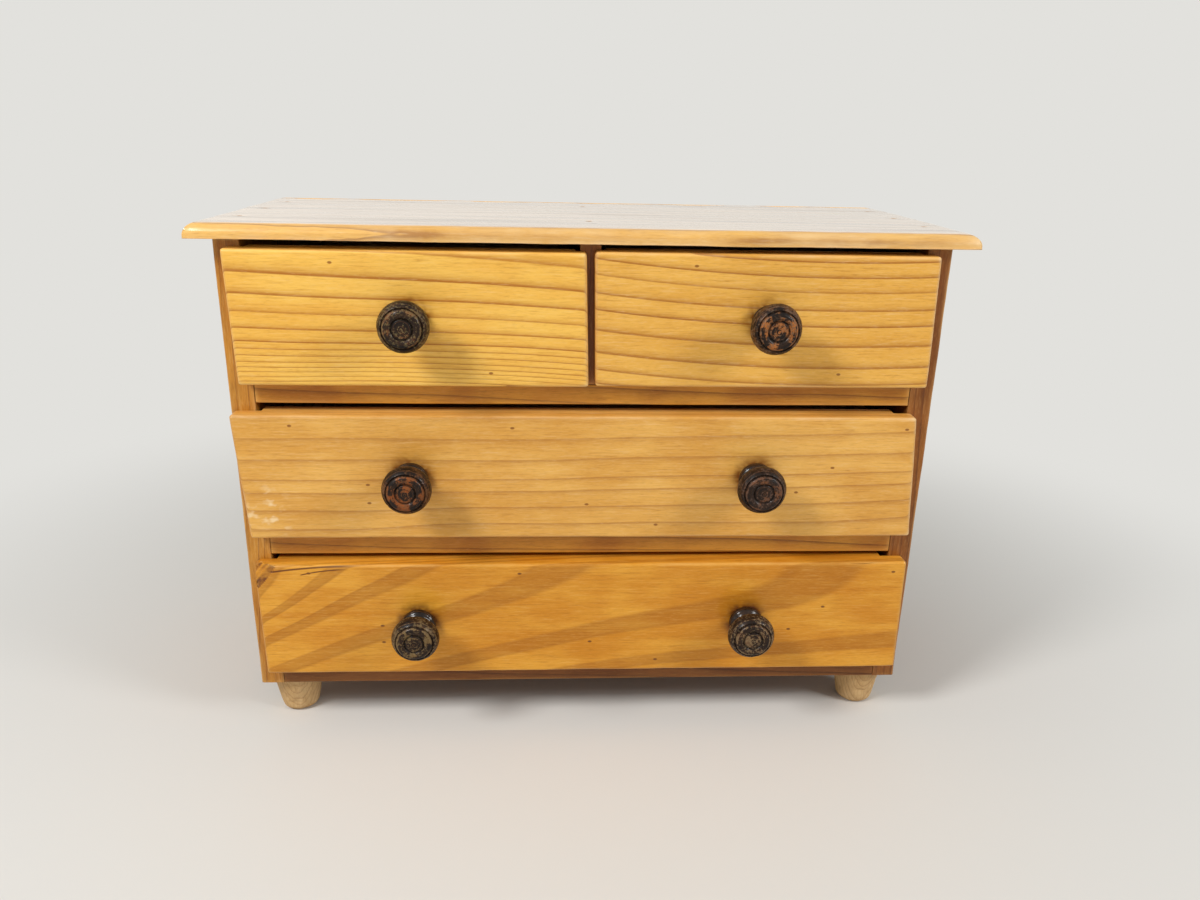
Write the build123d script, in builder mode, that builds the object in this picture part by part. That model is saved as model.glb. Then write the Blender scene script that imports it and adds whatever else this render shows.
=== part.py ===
from build123d import *

import os
from dataclasses import dataclass

# A miniature pine chest of drawers for a desk or a sewing table: two short drawers
# over two long ones, in a plain pinned case on four tapered feet.
#
# Millimetres. +Z is up and the drawers face -Y, so +X is the viewer's right. The
# origin is on the floor, in the middle of the whole object's width and depth.

# ---- the case ------------------------------------------------------------------
CASE_WIDTH = 360.0           # over the two side panels
CASE_DEPTH = 146.0           # side panels, front edge to back edge
HEIGHT = 275.2               # from the floor to the face of the top
SIDE_THICK = 12.7            # half-inch boards
SHELF_THICK = 10.5           # the bottom board and the two shelves
DIVIDER_THICK = 10.5         # the upright between the short drawers
BOTTOM_BAY = 68.6            # clear heights, from one board to the next; the top bay
MIDDLE_BAY = 72.9            # takes what is left of the height
EDGE_ROUND = 1.5             # the side panels' worn outer front arris

TOP_THICK = 7.5
TOP_OVERHANG = 10.0          # past the case at the front and at both ends
TOP_BACK_OVERHANG = 1.7
NOSE_RADIUS = 6.0            # quarter round along the top's front and ends

BACK_THICK = 4.0             # plywood back, flush in its rebates
BACK_REBATE = 6.0            # how far it goes over each side panel's edge
BACK_FIT = 0.2               # air round the back in its rebates

# ---- the feet ------------------------------------------------------------------
FOOT_HEIGHT = 23.5
FOOT_TOP_RADIUS = 14.2
FOOT_TOE_RADIUS = 9.8        # where the taper would meet the floor
FOOT_TOE_ROUND = 4.0
FOOT_INSET = 16.5            # foot's axis in from the case's side, front and back

# ---- the drawers ---------------------------------------------------------------
LIP_THICK = 8.5              # the part of each front that stands ahead of the case
BLOCK_THICK = 7.5            # the part behind the lip, inside the bay
FRONT_ROUND = 1.6            # softened arrises round the fronts' faces
CORNER_ROUND = 1.4           # the fronts' four corners, seen face on
CLOSED_GAP = 0.15            # lip to case, with the drawer shut
RUN_GAP = 0.2                # box to the board that it slides on
BOX_SIDE_THICK = 6.0
BOX_BACK_THICK = 6.0
BOX_DROP = 9.0               # the box's sides stop this far below the front's top
BOX_BACK_DROP = 3.0          # and its back this far below its sides
BOX_REAR_GAP = 6.0           # behind the box, with the drawer shut
LAP = 5.0                    # box sides let this deep into the block's back corners
BASE_THICK = 3.0             # plywood base
BASE_RAISE = 5.0             # base above the box sides' lower edges
GROOVE = 3.0                 # groove depth for the base
GROOVE_FIT = 0.1             # air round the base in its grooves

# ---- the knobs -----------------------------------------------------------------
KNOB_RADIUS = 12.5           # one-inch turned knobs
KNOB_LENGTH = 22.5
KNOB_FOOT_RADIUS = 8.6       # where the knob stands on the drawer front
KNOB_BEAD_RADIUS = 9.3       # the bead above it
KNOB_WAIST_RADIUS = 6.3
KNOB_FACE_RADIUS = 9.8       # disc inside the outer turned groove
KNOB_BUTTON_RADIUS = 4.9     # disc inside the inner turned groove
KNOB_GROOVE = 0.7            # width and depth of both grooves
KNOB_BEAD = 4.5              # height of the bead
KNOB_NECK_RADIUS = 9.6       # where the waist runs out into the head
KNOB_HEAD_BACK = 3.8         # from there to the head's widest ring
KNOB_CROWN = 7.0             # from the widest ring to the middle of the face
KNOB_SHOULDER = 1.6          # from the outer groove to the middle of the face
KNOB_SPREAD = 178.0          # between the two knobs of a long drawer

# ---- the torn corner of the bottom drawer's front ------------------------------
TORN_ALONG = 11.0            # along the top edge
TORN_DOWN = 14.0             # down the left end
TORN_DEEP = 4.0              # into the lip at the corner itself

# ---- pins and screws -----------------------------------------------------------
PUNCH = 0.4                  # pin heads are set this far below the surface
FASTENER_FIT = 0.04          # air round pins and screws in their holes
POINT_TAPER = 2.0            # length of a pin's or screw's point, in radii
SIDE_PINS = 3                # in each end of each shelf, and in each side's top
DIVIDER_PINS = 2
BACK_PINS = 3                # up each side, and along each shelf
BASE_PINS = 3
CORNER_PINS = 2              # at each of a box's four corners
PIN_END = 26.0               # the end pins stand this far from a board's ends
SHELF_PIN_END = 55.8         # and along each shelf's back edge, this far
CORNER_PIN_END = 11.5        # and at a box's corners, this far from its side's edges
PAST = 1.0                   # cuts run this far past the wood that they open


@dataclass(frozen=True)
class Pin:
    """A round panel pin, with a small flat head."""

    radius: float
    length: float
    head_radius: float
    head_thick: float

    @property
    def point_start(self):
        return self.length - POINT_TAPER * self.radius


@dataclass(frozen=True)
class Screw:
    """A slotted, countersunk wood screw; its thread is left out."""

    radius: float
    length: float
    head_radius: float
    head_height: float
    slot_width: float
    slot_depth: float

    @property
    def point_start(self):
        return self.length - POINT_TAPER * self.radius


CASE_PIN = Pin(radius=0.8, length=24.0, head_radius=1.3, head_thick=0.8)
FINE_PIN = Pin(radius=0.6, length=13.0, head_radius=1.0, head_thick=0.6)
KNOB_SCREW = Screw(radius=1.9, length=28.0, head_radius=3.6, head_height=2.2,
                   slot_width=0.9, slot_depth=0.9)
FOOT_SCREW = Screw(radius=1.9, length=24.0, head_radius=3.6, head_height=2.2,
                   slot_width=0.9, slot_depth=0.9)


@dataclass(frozen=True)
class Drawer:
    """One drawer: the bay that it fills, and how it sits in it."""

    name: str
    bay_left: float          # inner faces of what stands beside it
    bay_right: float
    floor: float             # top of the board that it slides on
    ceiling: float           # underside of the board above it
    over_left: float         # how far the lip goes past the bay's left face
    over_right: float
    lift: float              # front's lower edge above the floor
    headroom: float          # front's top edge below the ceiling
    lean: float              # its ends aren't square: top corners stand left by this
    play_left: float         # between the box and the bay's left face
    play_right: float
    knobs: dict              # node suffix: distance from the bay's middle
    knob_drop: float = 0.0   # knobs set this much below the front's middle

    @property
    def bottom(self):
        return self.floor + self.lift

    @property
    def top(self):
        return self.ceiling - self.headroom

    @property
    def left(self):
        return self.bay_left - self.over_left

    @property
    def right(self):
        return self.bay_right + self.over_right

    @property
    def box_left(self):
        return self.bay_left + self.play_left

    @property
    def box_right(self):
        return self.bay_right - self.play_right

    @property
    def box_low(self):
        return self.floor + RUN_GAP

    @property
    def box_high(self):
        return self.top - BOX_DROP

    @property
    def base_low(self):
        return self.box_low + BASE_RAISE

    @property
    def knob_height(self):
        return (self.bottom + self.top) / 2 - self.knob_drop

    @property
    def knob_places(self):
        """Node suffix and distance along X of each knob."""
        middle = (self.bay_left + self.bay_right) / 2
        return {suffix: middle + offset for suffix, offset in self.knobs.items()}


# ---- planes and levels worked out from the sizes above -------------------------
ahead_of_case = CLOSED_GAP + LIP_THICK + KNOB_LENGTH
behind_front_edge = CASE_DEPTH + TOP_BACK_OVERHANG
case_front = (ahead_of_case - behind_front_edge) / 2
case_back = case_front + CASE_DEPTH
shelf_back = case_back - BACK_THICK

case_half = CASE_WIDTH / 2
inner_half = case_half - SIDE_THICK
divider_half = DIVIDER_THICK / 2

case_low = FOOT_HEIGHT
bottom_board_top = case_low + SHELF_THICK
lower_shelf_low = bottom_board_top + BOTTOM_BAY
lower_shelf_top = lower_shelf_low + SHELF_THICK
upper_shelf_low = lower_shelf_top + MIDDLE_BAY
upper_shelf_top = upper_shelf_low + SHELF_THICK
case_high = HEIGHT - TOP_THICK

lip_back = case_front - CLOSED_GAP
lip_face = lip_back - LIP_THICK
block_back = lip_back + BLOCK_THICK
box_front = block_back - LAP
box_rear = shelf_back - BOX_REAR_GAP


def pair(shift):
    """A long drawer's two knobs, both set off the middle by the same shift."""
    return {"knob_left": shift - KNOB_SPREAD / 2, "knob_right": shift + KNOB_SPREAD / 2}


DRAWERS = [
    Drawer("top_left", -inner_half, -divider_half, upper_shelf_top, case_high,
           over_left=5.9, over_right=4.0, lift=0.8, headroom=4.2, lean=1.9,
           play_left=2.0, play_right=2.2, knobs={"knob": -2.0}),
    Drawer("top_right", divider_half, inner_half, upper_shelf_top, case_high,
           over_left=3.0, over_right=4.8, lift=1.2, headroom=3.5, lean=1.3,
           play_left=2.2, play_right=2.0, knobs={"knob": 1.8}),
    Drawer("middle", -inner_half, inner_half, lower_shelf_top, upper_shelf_low,
           over_left=9.1, over_right=4.7, lift=2.2, headroom=3.9, lean=4.4,
           play_left=2.6, play_right=7.2, knobs=pair(-1.5)),
    Drawer("bottom", -inner_half, inner_half, bottom_board_top, lower_shelf_low,
           over_left=6.6, over_right=8.2, lift=0.4, headroom=2.6, lean=1.0,
           play_left=3.0, play_right=4.7, knobs=pair(-0.8), knob_drop=2.2),
]

FROM_FACE = (Align.CENTER, Align.CENTER, Align.MIN)
LOW_CORNER = (Align.MIN, Align.MIN, Align.MIN)


# ---- shared shapes -------------------------------------------------------------
def spread(low, high, count, end=PIN_END):
    """Evenly spaced places from low to high, the outer ones `end` inside them."""
    step = (high - low - 2 * end) / (count - 1)
    return [low + end + step * i for i in range(count)]


def facing(direction, points):
    """A plane at each point of a board's face, its Z pointing into the wood."""
    return [Plane(origin=point, z_dir=direction) for point in points]


def block(x, y, z, mode=Mode.ADD):
    """A square-cut piece of board, between two limits each way."""
    with Locations((x[0], y[0], z[0])):
        Box(x[1] - x[0], y[1] - y[0], z[1] - z[0], align=LOW_CORNER, mode=mode)


def drill(pin, places):
    """Holes for pins, wider at the face where the heads are punched in."""
    with Locations(*places):
        Cylinder(pin.radius + FASTENER_FIT, PUNCH + pin.length + FASTENER_FIT,
                 align=FROM_FACE, mode=Mode.SUBTRACT)
        Cylinder(pin.head_radius + FASTENER_FIT, PUNCH + pin.head_thick,
                 align=FROM_FACE, mode=Mode.SUBTRACT)


def countersink(screw, places):
    """Holes for screws whose heads lie flush in the face."""
    with Locations(*places):
        Cylinder(screw.radius + FASTENER_FIT, screw.length + FASTENER_FIT,
                 align=FROM_FACE, mode=Mode.SUBTRACT)
        Cone(screw.head_radius + FASTENER_FIT, screw.radius + FASTENER_FIT,
             screw.head_height, align=FROM_FACE, mode=Mode.SUBTRACT)


def pins(pin, places):
    """One solid for each pin, where its hole is drilled."""
    with BuildPart() as single:
        with BuildSketch(Plane.XZ):
            with BuildLine():
                Polyline((0, PUNCH), (pin.head_radius, PUNCH),
                         (pin.head_radius, PUNCH + pin.head_thick),
                         (pin.radius, PUNCH + pin.head_thick),
                         (pin.radius, PUNCH + pin.point_start),
                         (0, PUNCH + pin.length), close=True)
            make_face()
        revolve(axis=Axis.Z)
    with BuildPart() as group:
        with Locations(*places):
            add(single.part)
    return group.part


def screws(screw, places):
    """One solid for each screw, where its hole is countersunk."""
    with BuildPart() as single:
        with BuildSketch(Plane.XZ):
            with BuildLine():
                Polyline((0, 0), (screw.head_radius, 0),
                         (screw.radius, screw.head_height),
                         (screw.radius, screw.point_start),
                         (0, screw.length), close=True)
            make_face()
        revolve(axis=Axis.Z)
        Box(2 * screw.head_radius, screw.slot_width, screw.slot_depth,
            align=FROM_FACE, mode=Mode.SUBTRACT)
    with BuildPart() as group:
        with Locations(*places):
            add(single.part)
    return group.part


# ---- where the case's pins and screws go ---------------------------------------
shelf_middles = {
    "bottom_board": (case_low + bottom_board_top) / 2,
    "lower_shelf": (lower_shelf_low + lower_shelf_top) / 2,
    "upper_shelf": (upper_shelf_low + upper_shelf_top) / 2,
}
pin_depths = spread(case_front, shelf_back, SIDE_PINS)


def side_pin_places(hand):
    """Through one side panel into its three shelves; hand is -1 left, 1 right."""
    points = [(hand * case_half, y, z) for z in shelf_middles.values() for y in pin_depths]
    return facing((-hand, 0, 0), points)


top_face = HEIGHT
side_middle = case_half - SIDE_THICK / 2
divider_depths = spread(case_front, shelf_back, DIVIDER_PINS)
top_pin_places = facing(
    (0, 0, -1),
    [(x, y, top_face) for x in (-side_middle, side_middle) for y in pin_depths]
    + [(0, y, top_face) for y in divider_depths])
divider_pin_places = facing((0, 0, 1), [(0, y, upper_shelf_low) for y in divider_depths])

rebate_middle = inner_half + BACK_REBATE / 2
back_pin_places = facing(
    (0, -1, 0),
    [(x, case_back, z) for x in (-rebate_middle, rebate_middle)
     for z in spread(case_low, case_high, BACK_PINS)]
    + [(x, case_back, z) for z in shelf_middles.values()
       for x in spread(-inner_half, inner_half, BACK_PINS, end=SHELF_PIN_END)])

foot_x = case_half - FOOT_INSET
feet = {
    "foot_front_left": (-foot_x, case_front + FOOT_INSET),
    "foot_front_right": (foot_x, case_front + FOOT_INSET),
    "foot_back_left": (-foot_x, case_back - FOOT_INSET),
    "foot_back_right": (foot_x, case_back - FOOT_INSET),
}
foot_screw_places = facing((0, 0, -1), [(x, y, bottom_board_top) for x, y in feet.values()])


# ---- the case ------------------------------------------------------------------
def top_board():
    """The top: a thin board, its front and ends worked to a quarter round."""
    half = case_half + TOP_OVERHANG
    front = case_front - TOP_OVERHANG
    back = case_back + TOP_BACK_OVERHANG
    with BuildPart() as top:
        block((-half, half), (front, back), (case_high, top_face))
        upper = top.faces().sort_by(Axis.Z)[-1]
        nosed = upper.edges().sort_by(Axis.Y)[:-1]
        fillet(nosed, radius=NOSE_RADIUS)
        drill(CASE_PIN, top_pin_places)
    return top.part


def side_panel(hand):
    """A full-height side; hand is -1 for the left one and 1 for the right one."""
    across = sorted((hand * inner_half, hand * case_half))
    rebate = sorted((hand * (inner_half - PAST), hand * (inner_half + BACK_REBATE)))
    with BuildPart() as side:
        block(across, (case_front, case_back), (case_low, case_high))
        front_edges = side.edges().filter_by(Axis.Z).sort_by(Axis.Y)[:2].sort_by(Axis.X)
        fillet(front_edges[0] if hand < 0 else front_edges[-1], radius=EDGE_ROUND)
        block(rebate, (shelf_back, case_back + PAST), (case_low - PAST, case_high + PAST),
              mode=Mode.SUBTRACT)
        drill(CASE_PIN, side_pin_places(hand))
        drill(CASE_PIN, top_pin_places)
        drill(FINE_PIN, back_pin_places)
    return side.part


def shelf(low):
    """One of the three boards that lie between the sides."""
    with BuildPart() as board:
        block((-inner_half, inner_half), (case_front, shelf_back), (low, low + SHELF_THICK))
        for hand in (-1, 1):
            drill(CASE_PIN, side_pin_places(hand))
        drill(CASE_PIN, divider_pin_places)
        drill(FINE_PIN, back_pin_places)
        countersink(FOOT_SCREW, foot_screw_places)
    return board.part


def divider():
    """The upright board between the two short drawers."""
    with BuildPart() as board:
        block((-divider_half, divider_half), (case_front, shelf_back),
              (upper_shelf_top, case_high))
        drill(CASE_PIN, top_pin_places)
        drill(CASE_PIN, divider_pin_places)
    return board.part


def back_panel():
    """The thin back, flush in the rebates of the sides and pinned to the shelves."""
    half = inner_half + BACK_REBATE - BACK_FIT
    with BuildPart() as panel:
        block((-half, half), (shelf_back, case_back), (case_low, case_high - BACK_FIT))
        drill(FINE_PIN, back_pin_places)
    return panel.part


def foot(x, y):
    """A tapered round foot with a rounded toe, screwed on from above."""
    with BuildPart() as turned:
        with BuildSketch(Plane(origin=(x, y, 0), x_dir=(1, 0, 0), z_dir=(0, -1, 0))):
            with BuildLine():
                Polyline((0, 0), (FOOT_TOE_RADIUS, 0), (FOOT_TOP_RADIUS, FOOT_HEIGHT),
                         (0, FOOT_HEIGHT), close=True)
            make_face()
        revolve(axis=Axis((x, y, 0), (0, 0, 1)))
        fillet(turned.edges().sort_by(Axis.Z)[0], radius=FOOT_TOE_ROUND)
        countersink(FOOT_SCREW, foot_screw_places)
    return turned.part


# ---- the drawers ---------------------------------------------------------------
def knob_screw_places(drawer):
    """Screws from inside the box, through the front into the knobs."""
    xs = drawer.knob_places.values()
    return facing((0, -1, 0), [(x, block_back, drawer.knob_height) for x in xs])


def corner_pin_places(drawer):
    """Pins through each box side, into the front's block and into the box's back."""
    heights = spread(drawer.box_low, drawer.box_high, CORNER_PINS, end=CORNER_PIN_END)
    depths = (block_back - LAP / 2, box_rear - BOX_BACK_THICK / 2)
    left = [(drawer.box_left, y, z) for y in depths for z in heights]
    right = [(drawer.box_right, y, z) for y in depths for z in heights]
    return facing((1, 0, 0), left) + facing((-1, 0, 0), right)


def base_pin_places(drawer):
    """Pins from below, through the base into the lower edge of the box's back."""
    inset = BOX_SIDE_THICK + PIN_END
    xs = spread(drawer.box_left, drawer.box_right, BASE_PINS, end=inset)
    return facing((0, 0, 1), [(x, box_rear - BOX_BACK_THICK / 2, drawer.base_low) for x in xs])


def base_groove(drawer):
    """The groove for the base, cut from the part being made."""
    inner_left = drawer.box_left + BOX_SIDE_THICK
    inner_right = drawer.box_right - BOX_SIDE_THICK
    block((inner_left - GROOVE, inner_right + GROOVE),
          (block_back - GROOVE, box_rear),
          (drawer.base_low - GROOVE_FIT, drawer.base_low + BASE_THICK + GROOVE_FIT),
          mode=Mode.SUBTRACT)


def drawer_front(drawer):
    """The front: a lip that lies over the case's edges, and a block inside the bay."""
    half_lean = drawer.lean / 2
    with BuildPart() as front:
        with BuildSketch(Plane(origin=(0, lip_back, 0), x_dir=(1, 0, 0), z_dir=(0, -1, 0))):
            with BuildLine():
                Polyline((drawer.left + half_lean, drawer.bottom),
                         (drawer.right + half_lean, drawer.bottom),
                         (drawer.right - half_lean, drawer.top),
                         (drawer.left - half_lean, drawer.top), close=True)
            outline = make_face()
            fillet(outline.vertices(), radius=CORNER_ROUND)
        extrude(amount=LIP_THICK)
        face = front.faces().sort_by(Axis.Y)[0]
        fillet(face.edges(), radius=FRONT_ROUND)
        block((drawer.box_left, drawer.box_right), (lip_back, block_back),
              (drawer.bottom, drawer.top))
        for x in ((drawer.box_left, drawer.box_left + BOX_SIDE_THICK),
                  (drawer.box_right - BOX_SIDE_THICK, drawer.box_right)):
            block(x, (box_front, block_back), (drawer.bottom - PAST, drawer.box_high),
                  mode=Mode.SUBTRACT)
        base_groove(drawer)
        drill(FINE_PIN, corner_pin_places(drawer))
        countersink(KNOB_SCREW, knob_screw_places(drawer))
    return front.part


def torn_front(drawer):
    """The bottom drawer's front, its upper left corner torn away on a slant."""
    corner_x = drawer.left - drawer.lean / 2
    along_top = Vector(corner_x + TORN_ALONG, lip_face, drawer.top)
    down_end = Vector(corner_x, lip_face, drawer.top - TORN_DOWN)
    into_lip = Vector(corner_x, lip_face + TORN_DEEP, drawer.top)
    outwards = (down_end - along_top).cross(into_lip - along_top)
    with BuildPart() as front:
        add(drawer_front(drawer))
        split(bisect_by=Plane(origin=along_top, z_dir=outwards), keep=Keep.TOP)
    return front.part


def box_side(drawer, hand):
    """A side of the box; hand is -1 for the left one and 1 for the right one."""
    if hand < 0:
        x = (drawer.box_left, drawer.box_left + BOX_SIDE_THICK)
    else:
        x = (drawer.box_right - BOX_SIDE_THICK, drawer.box_right)
    with BuildPart() as side:
        block(x, (box_front, box_rear), (drawer.box_low, drawer.box_high))
        base_groove(drawer)
        drill(FINE_PIN, corner_pin_places(drawer))
    return side.part


def box_back(drawer):
    """The box's back, which stands on the base between the sides."""
    with BuildPart() as back:
        block((drawer.box_left + BOX_SIDE_THICK, drawer.box_right - BOX_SIDE_THICK),
              (box_rear - BOX_BACK_THICK, box_rear),
              (drawer.base_low + BASE_THICK, drawer.box_high - BOX_BACK_DROP))
        drill(FINE_PIN, corner_pin_places(drawer))
        drill(FINE_PIN, base_pin_places(drawer))
    return back.part


def box_base(drawer):
    """The thin base, slid in from behind."""
    reach = BOX_SIDE_THICK - GROOVE + GROOVE_FIT
    with BuildPart() as base:
        block((drawer.box_left + reach, drawer.box_right - reach),
              (block_back - GROOVE + GROOVE_FIT, box_rear),
              (drawer.base_low, drawer.base_low + BASE_THICK))
        drill(FINE_PIN, base_pin_places(drawer))
    return base.part


def knob(drawer, x):
    """A turned knob: bead, waist, and a round head with two grooves in its face."""
    bore = KNOB_SCREW.radius + FASTENER_FIT
    bore_deep = KNOB_SCREW.length + FASTENER_FIT - LIP_THICK - BLOCK_THICK
    bead_radius = KNOB_FOOT_RADIUS - KNOB_GROOVE
    widest = KNOB_LENGTH - KNOB_CROWN
    neck = widest - KNOB_HEAD_BACK
    shoulder = KNOB_LENGTH - KNOB_SHOULDER
    face_high = KNOB_LENGTH - KNOB_GROOVE
    rim = KNOB_FACE_RADIUS + KNOB_GROOVE / 2
    face_edge = KNOB_FACE_RADIUS - KNOB_GROOVE / 2
    button_edge = KNOB_BUTTON_RADIUS - KNOB_GROOVE / 2
    z = drawer.knob_height
    with BuildPart() as turned:
        with BuildSketch(Plane(origin=(x, lip_face, z), x_dir=(1, 0, 0), z_dir=(0, 0, -1))):
            with BuildLine():
                Polyline((0, bore_deep), (bore, bore_deep), (bore, 0), (KNOB_FOOT_RADIUS, 0))
                ThreePointArc((KNOB_FOOT_RADIUS, 0), (KNOB_BEAD_RADIUS, KNOB_BEAD / 2),
                              (bead_radius, KNOB_BEAD))
                ThreePointArc((bead_radius, KNOB_BEAD),
                              (KNOB_WAIST_RADIUS, (KNOB_BEAD + neck) / 2),
                              (KNOB_NECK_RADIUS, neck))
                TangentArc((KNOB_RADIUS, widest), (KNOB_NECK_RADIUS, neck), tangent=(0, -1))
                TangentArc((KNOB_RADIUS, widest), (rim, shoulder), tangent=(0, 1))
                Polyline((rim, shoulder), (KNOB_FACE_RADIUS, shoulder - KNOB_GROOVE),
                         (face_edge, shoulder))
                ThreePointArc((face_edge, shoulder), (face_edge - KNOB_GROOVE, face_high),
                              (KNOB_BUTTON_RADIUS + KNOB_GROOVE, face_high))
                Polyline((KNOB_BUTTON_RADIUS + KNOB_GROOVE, face_high),
                         (KNOB_BUTTON_RADIUS, face_high - KNOB_GROOVE),
                         (button_edge, face_high))
                TangentArc((0, KNOB_LENGTH), (button_edge, face_high), tangent=(1, 0))
                Line((0, KNOB_LENGTH), (0, bore_deep))
            make_face()
        revolve(axis=Axis((x, lip_face, z), (0, -1, 0)))
    return turned.part


# ---- all nodes -----------------------------------------------------------------
parts = {
    "top_board": top_board(),
    "side_left": side_panel(-1),
    "side_right": side_panel(1),
    "bottom_board": shelf(case_low),
    "lower_shelf": shelf(lower_shelf_low),
    "upper_shelf": shelf(upper_shelf_low),
    "divider": divider(),
    "back_panel": back_panel(),
    "top_pins": pins(CASE_PIN, top_pin_places),
    "side_left_pins": pins(CASE_PIN, side_pin_places(-1)),
    "side_right_pins": pins(CASE_PIN, side_pin_places(1)),
    "divider_pins": pins(CASE_PIN, divider_pin_places),
    "back_pins": pins(FINE_PIN, back_pin_places),
    "foot_screws": screws(FOOT_SCREW, foot_screw_places),
}
for foot_name, (foot_at_x, foot_at_y) in feet.items():
    parts[foot_name] = foot(foot_at_x, foot_at_y)

for each in DRAWERS:
    make_front = torn_front if each.name == "bottom" else drawer_front
    parts[f"{each.name}_front"] = make_front(each)
    parts[f"{each.name}_side_left"] = box_side(each, -1)
    parts[f"{each.name}_side_right"] = box_side(each, 1)
    parts[f"{each.name}_back"] = box_back(each)
    parts[f"{each.name}_base"] = box_base(each)
    parts[f"{each.name}_corner_pins"] = pins(FINE_PIN, corner_pin_places(each))
    parts[f"{each.name}_base_pins"] = pins(FINE_PIN, base_pin_places(each))
    parts[f"{each.name}_knob_screws"] = screws(KNOB_SCREW, knob_screw_places(each))
    for suffix, knob_x in each.knob_places.items():
        parts[f"{each.name}_{suffix}"] = knob(each, knob_x)

os.makedirs("parts", exist_ok=True)
for node, part in parts.items():
    part.label = node
    export_step(part, f"parts/{node}.step")
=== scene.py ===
"""A miniature pine chest of drawers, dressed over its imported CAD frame.

Metres, in the frame's own axes: +Z is up, the drawers face -Y, and +X is the viewer's right.
"""

import logging
import math
from collections.abc import Iterable, Sequence
from dataclasses import dataclass
from enum import Enum

import bmesh
import bpy
import numpy as np
from mathutils import Matrix, Vector, noise


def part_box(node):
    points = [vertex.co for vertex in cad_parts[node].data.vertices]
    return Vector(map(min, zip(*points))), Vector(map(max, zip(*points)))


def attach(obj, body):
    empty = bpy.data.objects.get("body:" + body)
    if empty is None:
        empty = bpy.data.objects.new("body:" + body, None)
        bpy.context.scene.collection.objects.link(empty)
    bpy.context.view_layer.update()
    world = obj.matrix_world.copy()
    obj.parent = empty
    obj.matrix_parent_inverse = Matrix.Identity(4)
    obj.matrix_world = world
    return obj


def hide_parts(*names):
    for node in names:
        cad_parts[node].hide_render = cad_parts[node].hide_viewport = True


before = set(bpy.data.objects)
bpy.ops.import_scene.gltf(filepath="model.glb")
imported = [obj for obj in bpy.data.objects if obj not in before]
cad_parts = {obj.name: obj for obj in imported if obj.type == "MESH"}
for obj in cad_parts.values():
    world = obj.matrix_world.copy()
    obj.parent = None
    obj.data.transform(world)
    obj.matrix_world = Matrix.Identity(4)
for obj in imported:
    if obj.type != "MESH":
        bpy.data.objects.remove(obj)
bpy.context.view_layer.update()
LOG = logging.getLogger("desktop_mini_drawers")

MM = 0.001
Colour = tuple[float, float, float, float]


def linear(code: str) -> Colour:
    """A scene colour from the usual written form.

    Args:
        code: "#RRGGBB", as a paint chart or a web page gives it.

    Returns:
        Red, green, blue and a full alpha, on a linear scale.
    """
    knee, slope, offset, power = 0.04045, 12.92, 0.055, 2.4
    shares = [int(code[i:i + 2], 16) / 255 for i in (1, 3, 5)]
    red, green, blue = (
        c / slope if c <= knee else ((c + offset) / (1 + offset)) ** power for c in shares)
    return (red, green, blue, 1.0)


# ---- node trees ----------------------------------------------------------------
class Wire:
    """A number that comes out of a node; arithmetic on it adds Math nodes."""

    def __init__(self, tree: "Tree", socket: bpy.types.NodeSocket) -> None:
        """Wraps one output socket of a tree."""
        self.tree = tree
        self.socket = socket

    def __add__(self, other: "Wire | float") -> "Wire":
        """This plus a value."""
        return self.tree.math("ADD", self, other)

    def __radd__(self, other: float) -> "Wire":
        """A value plus this."""
        return self.tree.math("ADD", other, self)

    def __sub__(self, other: "Wire | float") -> "Wire":
        """This less a value."""
        return self.tree.math("SUBTRACT", self, other)

    def __rsub__(self, other: float) -> "Wire":
        """A value less this."""
        return self.tree.math("SUBTRACT", other, self)

    def __mul__(self, other: "Wire | float") -> "Wire":
        """This times a value."""
        return self.tree.math("MULTIPLY", self, other)

    def __rmul__(self, other: float) -> "Wire":
        """A value times this."""
        return self.tree.math("MULTIPLY", other, self)

    def __abs__(self) -> "Wire":
        """This without its sign."""
        return self.tree.math("ABSOLUTE", self)


Value = Wire | bpy.types.NodeSocket | float | Sequence[float]


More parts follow.
